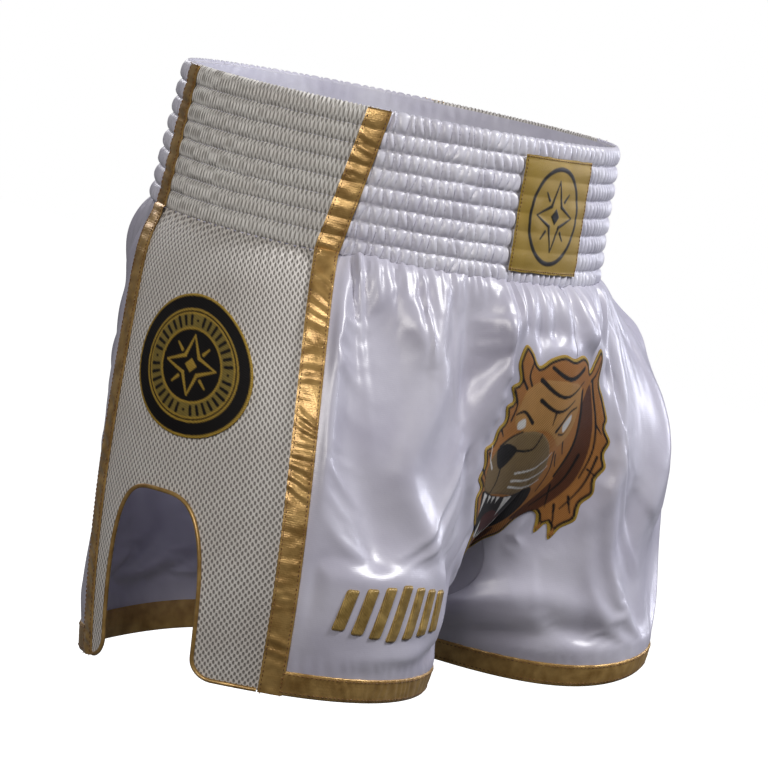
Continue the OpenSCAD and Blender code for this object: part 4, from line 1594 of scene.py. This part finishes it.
    def waist_scale(self) -> float:
        """Millimetres of waistband for one unit of t, beside the stripes."""
        a, b = (FORM.ring(1, 46.0, t, 0.0) for t in (0.345, 0.355))
        return float(np.linalg.norm(b - a)) / 0.01

    def binding(self, side: Side) -> Piece:
        """Makes one hem binding, folded round the hem from outside to inside, and its stitches."""
        name = f"hem_binding_{side.word}"
        count = 420
        high = 1 - self.BINDING / FORM.body_height.mean
        profile = [
            (high, 0.35), (high + 0.0015, 0.95), (high + 0.008, 1.1), (high + 0.02, 1.15),
            (high + 0.035, 1.1), (0.992, 1.05), (0.998, 0.95), (1.002, 0.4), (1.0035, -0.5), (1.002, -1.5),
            (0.996, -1.95), (high + 0.03, -1.9), (high + 0.01, -1.9), (high, -1.6),
        ]
        u = np.linspace(0, 1, count + 1)[None, :]

        def where(s: Array) -> Array:
            """Place round the leg, between the two stripes, in shares of t."""
            s = np.clip(s, 0, 1)
            gap_f = (self.STRIPE / 2 - 0.4) / FORM.per_t(side.value, 1.0, float(FORM.edge_front(1.0)))
            gap_b = (self.STRIPE / 2 - 0.4) / FORM.per_t(side.value, 1.0, float(FORM.edge_back(1.0)))
            a, b = FORM.edge_back(s) + gap_b, 1 + FORM.edge_front(s) - gap_f
            t = a + (b - a) * u
            return np.where(t > 1, t - 1, t)

        def points(s: Array, n: Array) -> Array:
            """Points at height s, folded past the hem where s is over one."""
            p = FORM.at(side.value, np.clip(s, 0, 1), where(s), n)
            p[..., 2] -= np.maximum(0, s - 1) * FORM.body_height.mean
            return p

        s = np.array([p[0] for p in profile])[:, None]
        n = np.array([p[1] for p in profile])[:, None]
        run = u * 650 * np.ones_like(s)
        across = np.clip((s - (high + 1) / 2) / ((1 - high) / 2), -1, 1) * np.ones_like(run)
        crease = self.pucker(run, across, 7.0, 95 + side.value)
        outer = points(s, n + 0.6 * crease * (n > 0.9) - 0.2 * crease * (n < -1.5))
        toward = FORM.out(side.value, np.clip(s, 0, 1), where(s))
        toward = toward * np.sign(n + 0.45)[..., None]
        cloth = outer - toward * 0.35
        piece = shell_object(name, outer, cloth, np.stack([run, np.cumsum(np.ones_like(run) * 2.4, 0)], -1))
        settle(piece, Look.GOLD, "satin_gold", name)
        lines = [points(np.array([[x]]), np.array([[1.3]]))[0] for x in (high + 0.0062, 0.9935)]
        self.stitch.sew(f"stitches_{name}", lines, Look.GOLD_STITCH, "satin_gold", 2.8)
        return piece

    def build(self) -> dict[str, Piece]:
        """Makes the four stripes and the two bindings."""
        made = {}
        for side in Side:
            for front in (True, False):
                made |= named(self.stripe(side, front))
            made |= named(self.binding(side))
        return made


# ---- embroidery ----


class Thread(Enum):
    """Thread colours of the patches and the label."""

    GOLD = "b8973f"
    OLIVE = "8d7a3e"
    BLACK = "120f10"
    TAN = "a9713a"
    SAND = "b98a50"
    BROWN = "5a3420"
    MUZZLE = "7f6a4a"
    WHITE = "dcdad8"
    WINE = "4a1c18"
    LABEL = "b59640"


@dataclass(frozen=True)
class Area:
    """A filled shape of a drawing."""

    thread: Thread
    points: tuple[tuple[float, float], ...]
    height: float = 0.15
    steps: int = 6

    def distance(self, at: Array) -> Array:
        """Signed distance in millimetres, below zero inside the shape."""
        loop = smooth_loop(self.points, True, self.steps) if self.steps > 1 else np.array(self.points, float)
        return outline_distance(at, loop)[0]


@dataclass(frozen=True)
class Ring:
    """A ring or a disc of a drawing, round its centre, wider across than along where it is an oval."""

    thread: Thread
    inner: float
    outer: float
    height: float = 0.15
    squash: float = 1.0

    def distance(self, at: Array) -> Array:
        """Signed distance in millimetres, below zero inside the ring."""
        r = np.hypot(at[..., 0], at[..., 1] * self.squash)
        return np.maximum(r - self.outer, self.inner - r)


@dataclass(frozen=True)
class Stroke:
    """A tapering line of a drawing."""

    thread: Thread
    points: tuple[tuple[float, float], ...]
    widths: tuple[float, float] = (1.6, 0.5)
    height: float = 0.2

    def distance(self, at: Array) -> Array:
        """Signed distance in millimetres, below zero inside the line."""
        gap, share = line_distance(at, smooth_loop(self.points, False, 5))
        return gap - (self.widths[0] * (1 - share) + self.widths[1] * share) / 2


Shape = Area | Ring | Stroke


@dataclass
class Needlework:
    """Turns a drawing in millimetres into a raised piece that lies on the garment."""

    cell: float = 0.75
    base: float = 0.95
    edge: float = 0.5

    def build(
        self, name: str, loops: Sequence[Array], shapes: Sequence[Shape], ground: Thread,
        place: Callable[[Array, Array, Array], Array],
    ) -> Piece:
        """Makes the piece.

        Args:
            name: the piece's name.
            loops: closed outlines of its islands.
            shapes: what is drawn on it, the last on top.
            ground: the colour under the shapes.
            place: a function from millimetres across, down and out to a point of the garment.

        Returns:
            The piece, not dressed yet.
        """
        corners = np.concatenate(loops)
        lo, hi = corners.min(0) - 1, corners.max(0) + 1
        u, v = np.meshgrid(np.arange(lo[0], hi[0], self.cell), np.arange(lo[1], hi[1], self.cell))
        at = np.stack([u, v], -1)
        far = np.full(u.shape, np.inf)
        foot = np.zeros_like(at)
        for loop in loops:
            gap, near = outline_distance(at, loop)
            closer = gap < far
            far = np.where(closer, gap, far)
            foot = np.where(closer[..., None], near, foot)
        snap = (far > -0.35 * self.cell) & (far < 1.05 * self.cell)
        at = np.where(snap[..., None], foot, at)
        inside = (far <= 0) | snap
        keep = inside[:-1, :-1] & inside[1:, :-1] & inside[1:, 1:] & inside[:-1, 1:]
        far = np.minimum(far, 0)
        colour = np.ones(u.shape + (4,)) * np.array(linear(ground.value))
        height = self.base + np.zeros_like(u)
        for shape in shapes:
            gap = shape.distance(at)
            cover = np.clip(0.5 - gap / (0.7 * self.cell), 0, 1)
            colour = colour * (1 - cover[..., None]) + np.array(linear(shape.thread.value)) * cover[..., None]
            raised = np.maximum(height, self.base + shape.height * ease(-gap / 0.8))
            height = np.where(gap < 0, raised, height)
        height = height * (self.edge + (1 - self.edge) * ease(-far / 1.3))
        outer = place(at[..., 0], at[..., 1], 0.15 + height)
        inner = place(at[..., 0], at[..., 1], np.full_like(height, 0.1))
        return shell_object(name, outer, inner, at, colour, keep)


class CatPatch:
    """A big cat's head of our own drawing, across the front seam: u to the wearer's left, v down.

    SPAN is the cloth's length beside the form's height.
    """

    SPAN = 1.06
    OUTLINE = (
        (-53, 47), (-46, 50), (-38, 58), (-28, 53), (-16, 50), (-6, 52), (6, 50), (18, 54), (26, 60),
        (32, 54), (40, 47), (46, 53), (46, 66), (54, 76), (60, 88), (59, 94), (63, 102), (59, 110),
        (60, 118), (54, 126), (53, 135), (46, 142), (44, 152), (37, 158), (33, 166), (29, 156), (24, 163),
        (21, 152), (14, 150), (6, 156), (2, 166), (-5, 172), (-8, 182), (-15, 184), (-19, 193),
        (-25, 188), (-33, 193), (-37, 184), (-46, 182), (-52, 172), (-50, 162), (-57, 156), (-64, 148),
        (-69, 140), (-66, 134), (-74, 128), (-71, 120), (-76, 110), (-68, 106), (-66, 98), (-60, 92),
        (-62, 84), (-56, 80), (-61, 72), (-54, 68), (-58, 58),
    )

    @classmethod
    def loop(cls) -> Array:
        """The patch's outline, in millimetres of the drawing."""
        return smooth_loop(cls.OUTLINE, True, 4)

    @staticmethod
    def spread(u: Array, v: Array) -> tuple[Array, Array]:
        """Carries the drawing's millimetres to the cloth's, across and down from the seam's top."""
        return u + 9 + (v - 110) * 0.10, 36 + (v - 46) * 1.17

    @staticmethod
    def place(u: Array, v: Array, n: Array) -> Array:
        """Carries the drawing onto the front of the shorts."""
        u, v = CatPatch.spread(u, v)
        side = np.where(u < 0, -1.0, 1.0)
        s = v / (FORM.body_height.mean * CatPatch.SPAN)
        reach = 0.06
        scale = np.linalg.norm(FORM.shell(side, s, reach) - FORM.shell(side, s, 0.0), axis=-1) / reach
        return FORM.at(side, s, np.abs(u) / scale, n)

    @staticmethod
    def shapes(loop: Array) -> list[Shape]:
        """The drawing, from the ground up.

        Args:
            loop: the patch's outline.

        Returns:
            The shapes.
        """
        centre = loop.mean(0)
        step = unit(np.roll(loop, -1, 0) - np.roll(loop, 1, 0))
        inward = np.stack([-step[:, 1], step[:, 0]], -1)
        inward *= np.sign(np.sum(inward * (centre - loop)))
        dark = tuple(map(tuple, loop + inward * 1.5))
        fill = tuple(map(tuple, loop + inward * 3.1))
        black, tan, sand, brown = Thread.BLACK, Thread.TAN, Thread.SAND, Thread.BROWN
        made: list[Shape] = [
            Area(black, dark, 0.1, 1),
            Area(tan, fill, 0.25, 1),
            Area(brown, (
                (30, 68), (44, 84), (48, 104), (40, 128), (22, 146), (0, 156), (4, 146), (22, 128),
                (32, 104), (26, 82),
            ), 0.3),
            Area(sand, (
                (-44, 72), (-30, 66), (-6, 66), (14, 70), (22, 84), (20, 98), (6, 106), (-8, 100),
                (-20, 96), (-38, 98), (-50, 92), (-48, 80),
            ), 0.4),
            Area(Thread.MUZZLE, (
                (-36, 98), (-20, 98), (-6, 108), (2, 120), (-4, 132), (-20, 138), (-36, 138), (-50, 138),
                (-62, 134), (-66, 122), (-60, 110), (-48, 102),
            ), 0.5),
            Area(black, (
                (-62, 136), (-44, 139), (-24, 139), (-4, 133), (2, 142), (-6, 158), (-22, 168),
                (-42, 168), (-52, 160), (-57, 148),
            ), 0.1),
            Area(Thread.WINE, (
                (-46, 154), (-34, 149), (-20, 152), (-14, 156), (-24, 163), (-38, 164),
            ), 0.3),
            Area(brown, (
                (-50, 166), (-38, 170), (-22, 170), (-8, 162), (-10, 174), (-18, 184), (-28, 188),
                (-38, 182), (-46, 176),
            ), 0.3),
            Area(black, ((-60, 110), (-50, 106), (-38, 109), (-42, 117), (-49, 122), (-56, 118)), 0.5),
            Area(Thread.WHITE, ((-2, 92), (8, 86), (12, 91), (4, 97)), 0.3),
            Area(Thread.WHITE, ((-46, 93), (-40, 90), (-38, 95), (-44, 97)), 0.3),
        ]
        teeth = (
            ((-58, 137), (-52, 139), (-55, 151)), ((-28, 140), (-20, 139), (-25, 153)),
            ((-49, 139), (-45, 140), (-47, 144)), ((-43, 140), (-39, 140), (-41, 144)),
            ((-37, 140), (-33, 140), (-35, 144)), ((-48, 166), (-42, 168), (-46, 155)),
            ((-22, 167), (-15, 164), (-18, 153)), ((-39, 168), (-35, 168), (-37, 162)),
            ((-32, 168), (-28, 168), (-30, 162)),
        )
        made += [Area(Thread.WHITE, tooth, 0.45, 1) for tooth in teeth]
        strokes = (
            (((-26, 58), (-8, 64), (10, 58)), (2.4, 3.4)), (((-34, 66), (-10, 75), (16, 66)), (3.2, 1.0)),
            (((-30, 78), (-12, 84), (6, 77)), (3.0, 1.0)), (((-14, 84), (-14, 92)), (2.0, 0.8)),
            (((-50, 88), (-42, 86), (-32, 92)), (1.2, 2.6)), (((-8, 96), (2, 85), (16, 82)), (2.8, 1.2)),
            (((-4, 98), (8, 98), (16, 90)), (1.4, 0.6)),
            (((-20, 98), (-24, 108), (-38, 110)), (1.0, 1.8)),
            (((-38, 98), (-48, 102), (-58, 108)), (1.0, 1.6)),
            (((-49, 120), (-47, 130), (-50, 138)), (1.6, 1.2)),
            (((18, 72), (30, 88), (32, 106), (22, 126)), (3.6, 2.0)),
            (((34, 66), (48, 86), (51, 106), (43, 126)), (2.4, 1.0)),
            (((40, 112), (30, 130), (10, 146)), (2.4, 0.8)),
            (((54, 112), (46, 130), (34, 146)), (1.8, 0.8)), (((50, 92), (56, 98)), (1.6, 0.6)),
            (((48, 120), (54, 124)), (1.4, 0.6)), (((38, 138), (40, 148)), (1.8, 0.6)),
            (((30, 144), (32, 156)), (2.0, 0.6)), (((22, 132), (24, 146)), (1.8, 0.6)),
            (((-56, 56), (-52, 66), (-46, 72)), (1.0, 2.2)),
            (((-44, 56), (-46, 64), (-42, 70)), (1.4, 1.8)), (((42, 54), (38, 62), (32, 66)), (1.2, 2.4)),
            (((-58, 74), (-52, 82), (-54, 92)), (1.6, 1.8)), (((-62, 98), (-58, 102)), (2.0, 0.8)),
            (((-70, 112), (-64, 118)), (2.2, 0.8)), (((-72, 122), (-65, 128)), (2.0, 0.8)),
            (((-42, 174), (-40, 184)), (1.8, 0.7)), (((-32, 174), (-32, 188)), (1.8, 0.7)),
            (((-22, 174), (-22, 187)), (1.8, 0.7)), (((-14, 170), (-12, 180)), (1.6, 0.7)),
            (((4, 110), (12, 122), (8, 136)), (2.2, 1.2)), (((14, 104), (22, 112)), (2.2, 0.8)),
            (((10, 112), (18, 120)), (2.0, 0.8)),
        )
        made += [Stroke(black, points, widths) for points, widths in strokes]
        whiskers = (
            ((-30, 124), (-14, 120), (0, 110)), ((-30, 129), (-12, 127), (4, 119)),
            ((-30, 133), (-12, 133), (2, 128)), ((-60, 122), (-66, 116), (-68, 108)),
        )
        made += [Stroke(Thread.WHITE, points, (1.5, 0.6), 0.6) for points in whiskers]
        return made


@dataclass
class Embroideries:
    """The label, the two round patches, the front patch and the raised mark."""

    stitch: Topstitch

    def star(self, thread: Thread, size: float, tall: float = 1.0) -> list[Shape]:
        """A plain four-pointed star round a diamond, drawn in strokes.

        Args:
            thread: its colour.
            size: half its width.
            tall: how much taller it is than wide.

        Returns:
            The strokes.
        """
        made: list[Shape] = []
        for k in range(4):
            a, b = math.radians(90 * k), math.radians(90 * k + 45)
            tip = (size * math.cos(a), size * tall * math.sin(a))
            for turn in (b, b - math.pi / 2):
                notch = (0.40 * size * math.cos(turn), 0.40 * size * tall * math.sin(turn))
                made.append(Stroke(thread, (tip, notch), (1.0, 2.4), 0.3))
            near = (0.62 * size * math.cos(b), 0.62 * size * tall * math.sin(b))
            far = (0.92 * size * math.cos(b), 0.92 * size * tall * math.sin(b))
            made.append(Stroke(thread, (near, far), (2.2, 1.2), 0.3))
        corner = 0.24 * size
        diamond = ((corner, 0), (0, corner * tall), (-corner, 0), (0, -corner * tall))
        return made + [Area(thread, diamond, 0.35, 1)]

    def round_patch(self, side: Side) -> Piece:
        """Makes one round patch: rings, a band of ticks and the star."""
        s0, t0, radius = 0.315, 0.514, 45.0
        per_s, per_t = FORM.per_s(side.value, s0, t0), FORM.per_t(side.value, s0, t0)

        def place(u: Array, v: Array, n: Array) -> Array:
            """Carries the drawing onto the side panel."""
            return FORM.at(side.value, s0 + v / per_s, t0 + u / per_t, n)

        shapes: list[Shape] = [
            Ring(Thread.GOLD, radius - 1.6, radius + 1, 0.35), Ring(Thread.GOLD, 34.2, 35.6, 0.3),
            Ring(Thread.OLIVE, 23.2, 33.0, 0.15), Ring(Thread.GOLD, 32.0, 33.2, 0.3),
            Ring(Thread.GOLD, 22.4, 23.8, 0.3),
        ]
        for k in range(36):
            cos, sin = math.cos(math.radians(10 * k)), math.sin(math.radians(10 * k))
            if k % 9:
                low, high = (25.6, 30.6) if k % 3 else (25.0, 31.2)
                tick = ((low * cos, low * sin), (high * cos, high * sin))
                shapes.append(Stroke(Thread.BLACK, tick, (1.9, 2.3), 0.3))
            else:
                dot = (28.1 * cos, 28.1 * sin)
                shapes.append(Stroke(Thread.BLACK, (dot, (dot[0] + 0.1, dot[1])), (1.8, 1.8), 0.3))
        shapes += self.star(Thread.GOLD, 19.0)
        turn = np.linspace(0, 2 * math.pi, 181)[:-1]
        loop = radius * np.stack([np.cos(turn), np.sin(turn)], -1)
        name = f"round_patch_{side.word}"
        piece = Needlework(0.7).build(name, [loop], shapes, Thread.BLACK, place)
        return settle(piece, Look.EMBROIDERY, "embroidery_black", name)

    def label(self) -> Piece:
        """Makes the woven label, with its oval ring and the star."""
        half, tall, shift = 35.0, 37.0, 22.0
        middle = FORM.band_height / 2
        scale = float(np.linalg.norm(FORM.ring(1, middle, 0.03, 0.0) - FORM.ring(1, middle, 0.0, 0.0))) / 0.03

        def place(u: Array, v: Array, n: Array) -> Array:
            """Carries the drawing onto the waistband, over its shirred rows."""
            h = middle + v
            x = u - shift
            rows = 0.35 * np.abs(np.sin(math.pi * FORM.rows * h / FORM.band_height))
            rows = rows * (0.4 + 0.6 * np.abs(u) / half)
            wave = 0.35 * soft_noise(u / 11, v / 14, 77)
            return FORM.ring(np.where(x < 0, -1.0, 1.0), h, np.abs(x) / scale, 3.15 + 0.7 * n + rows + wave)

        side = np.linspace(-1, 1, 24)
        wobble = 0.45 * soft_noise(side * 7, 0, 15)
        loop = np.concatenate([np.stack(edge, -1)[:-1] for edge in (
            (side * half, -tall + wobble), (half + wobble, side * tall),
            (-side * half, tall + wobble), (-half + wobble, -side * tall),
        )])
        oval = 31.0 / 24.5
        shapes: list[Shape] = [Ring(Thread.BLACK, 22.8, 25.2, 0.12, 1 / oval)]
        shapes += self.star(Thread.BLACK, 18.0, oval)
        piece = Needlework(0.6, 0.7, 0.75).build("waist_label", [loop], shapes, Thread.LABEL, place)
        settle(piece, Look.LABEL, "woven_gold", "waist_label")
        frame_line = []
        for a, b in (((-1, -1), (1, -1)), ((1, -1), (1, 1)), ((1, 1), (-1, 1)), ((-1, 1), (-1, -1))):
            k = np.linspace(0, 1, 60)
            u = (a[0] + (b[0] - a[0]) * k) * (half - 1.3)
            v = (a[1] + (b[1] - a[1]) * k) * (tall - 1.3)
            frame_line.append(place(u, v, np.full_like(u, 1.1)))
        self.stitch.sew("stitches_waist_label", frame_line, Look.GOLD_STITCH, "woven_gold", 2.4)
        return piece

    def mark(self) -> Piece:
        """Makes the raised mark: seven slanted bars of thread over foam."""
        s0, t0, side = MARK_S, MARK_T, Side.RIGHT.value
        wide, high, bars, radius = 92.0, 36.0, 7, 1.6
        per_s, per_t = FORM.per_s(side, s0, t0), FORM.per_t(side, s0, t0)

        def place(u: Array, v: Array, n: Array) -> Array:
            """Carries the drawing onto the right front panel."""
            return FORM.at(side, s0 + v / per_s, t0 + u / per_t, n)

        loops, shapes = [], []
        for b in range(bars):
            x0 = -wide / 2 + wide * (b + 0.12) / bars
            w, h = wide / bars * 0.62, high * (1 - 0.09 * abs(b - 3))
            corners = []
            for cu, cv, turn in ((1, -1, -90), (1, 1, 0), (-1, 1, 90), (-1, -1, 180)):
                for a in range(turn, turn + 91, 30):
                    u = w / 2 + cu * (w / 2 - radius) + radius * math.cos(math.radians(a))
                    v = cv * (h / 2 - radius) + radius * math.sin(math.radians(a))
                    corners.append((x0 + u + 0.28 * v, v))
            loops.append(np.array(corners))
            shapes.append(Area(Thread.GOLD, tuple(corners), 0.9, 1))
        piece = Needlework(0.6, 0.7, 0.45).build("leg_mark", loops, shapes, Thread.GOLD, place)
        return settle(piece, Look.GOLD_THREAD, "thread_gold", "leg_mark")

    def build(self) -> dict[str, Piece]:
        """Makes all the embroidery."""
        loop = CatPatch.loop()
        shapes = CatPatch.shapes(loop)
        cat = Needlework(0.75).build("front_patch", [loop], shapes, Thread.GOLD, CatPatch.place)
        settle(cat, Look.EMBROIDERY, "embroidery_brown", "front_patch")
        made = named(cat, self.label(), self.mark())
        for side in Side:
            made |= named(self.round_patch(side))
        return made


# ---- the studio ----


@dataclass
class Studio:
    """Floor, lights and camera."""

    target: tuple[float, float, float] = (13.0, -21.0, -186.0)
    distance: float = 2100.0
    azimuth: float = 58.0
    elevation: float = 7.5
    roll: float = 12.0
    focal: float = 146.5
    floor_drop: float = 900.0

    def light(self, name: str, at: tuple[float, float, float], size: float, power: float, tint: str) -> None:
        """Puts a soft square lamp that looks at the shorts."""
        lamp = bpy.data.lights.new(name, "AREA")
        lamp.size = size
        lamp.energy = power
        lamp.color = linear(tint)[:3]
        obj = bpy.data.objects.new(name, lamp)
        bpy.context.scene.collection.objects.link(obj)
        obj.location = at
        aim = Vector(self.target) * MM - obj.location
        obj.rotation_mode = "QUATERNION"
        obj.rotation_quaternion = aim.to_track_quat("-Z", "Y")

    def build(self) -> None:
        """Makes the floor, the lamps, the world and the camera."""
        scene = bpy.context.scene
        size = 6.0
        z = -self.floor_drop * MM
        mesh = bpy.data.meshes.new("floor")
        corners = [(-size, -size, z), (size, -size, z), (size, size, z), (-size, size, z)]
        mesh.from_pydata(corners, [], [(0, 1, 2, 3)])
        mesh.uv_layers.new(name="cloth")
        floor = bpy.data.objects.new("floor", mesh)
        scene.collection.objects.link(floor)
        Look.FLOOR.dress(floor)
        floor.visible_diffuse = False
        floor.visible_glossy = False
        world = bpy.data.worlds.new("studio")
        scene.world = world
        world.use_nodes = True
        tree = world.node_tree
        paths = add_node(tree, "ShaderNodeLightPath").outputs["Is Camera Ray"]
        backdrop = tree.nodes["Background"]
        backdrop.inputs["Color"].default_value = linear("ffffff")
        strength = add_node(tree, "ShaderNodeMapRange", {"Value": paths, "To Min": 0.07, "To Max": 1.0})
        tree.links.new(strength.outputs["Result"], backdrop.inputs["Strength"])
        self.light("key", (0.55, -1.50, 1.45), 0.42, 34.0, "ffffff")
        self.light("side", (-1.95, -0.60, 0.75), 0.70, 19.0, "fffbf6")
        self.light("rim", (1.50, -0.80, 0.30), 0.45, 8.0, "eef0ff")
        self.light("back", (0.70, 1.90, 1.10), 0.90, 17.0, "fbfaff")
        lens = bpy.data.cameras.new("camera")
        lens.lens = self.focal
        lens.sensor_width = 36.0
        lens.clip_start = 0.05
        lens.clip_end = 30
        camera = bpy.data.objects.new("camera", lens)
        scene.collection.objects.link(camera)
        a, e = math.radians(self.azimuth), math.radians(self.elevation)
        back = Vector((-math.sin(a) * math.cos(e), -math.cos(a) * math.cos(e), math.sin(e)))
        camera.location = (Vector(self.target) + back * self.distance) * MM
        camera.rotation_mode = "QUATERNION"
        turn = Quaternion((0, 0, 1), math.radians(self.roll))
        camera.rotation_quaternion = (-back).to_track_quat("-Z", "Y") @ turn
        scene.camera = camera
        scene.view_settings.view_transform = "Standard"


# ---- the whole ----


@dataclass(frozen=True)
class Cut:
    """A sheet of cloth: its flat size in metres, how it is held, and what is sewn to it."""

    flat: tuple[float, float]
    held: str
    rests_on: str
    extras: tuple[str, ...] = ()
    area: float | None = None


def cuts() -> dict[str, Cut]:
    """Every sheet's cut, by the sheet's name."""
    sheets = {
        "waistband_front": Cut((0.49, 0.098), "gathered", "waist_elastic", ("stitches_waist",)),
        "waistband_back": Cut((0.475, 0.098), "gathered", "waist_elastic"),
        "waistband_side_right": Cut((0.185, 0.098), "gathered", "waist_elastic"),
        "waistband_side_left": Cut((0.185, 0.098), "gathered", "waist_elastic"),
        "waist_facing": Cut((1.06, 0.092), "gathered", "waist_elastic"),
        "waist_elastic": Cut((0.95, 0.09), "stretched", "waist_facing"),
    }
    for side in Side:
        w = side.word
        trims = (f"hem_binding_{w}", f"front_stripe_{w}")
        badges = ("leg_mark", "front_patch", "waist_label") if side is Side.RIGHT else ()
        sheets[f"front_panel_{w}"] = Cut((0.285, 0.30), "gathered", "waistband_front", trims + badges)
        sheets[f"back_panel_{w}"] = Cut((0.295, 0.32), "gathered", "waistband_back", (f"back_stripe_{w}",))
        sheets[f"side_panel_{w}"] = Cut(
            (0.15, 0.27), "hung", f"waistband_side_{w}", (f"vent_piping_{w}", f"round_patch_{w}")
        )
    sheets["crotch_gusset"] = Cut((0.14, 0.12), "stretched", "front_panel_right", area=0.0085)
    return sheets


def main() -> None:
    logging.basicConfig(level=logging.INFO, format="%(message)s")
    stitch = Topstitch()
    trims = Trims(stitch)
    waist = Waistband(stitch)
    made = waist.build()
    made |= SatinBody(waist).build()
    for side in Side:
        made |= SidePanel(side).build(trims)
    made |= trims.build()
    made |= Embroideries(stitch).build()
    for name, cut in cuts().items():
        [made[extra] for extra in cut.extras]
    Studio().build()


if __name__ == "__main__":
    main()
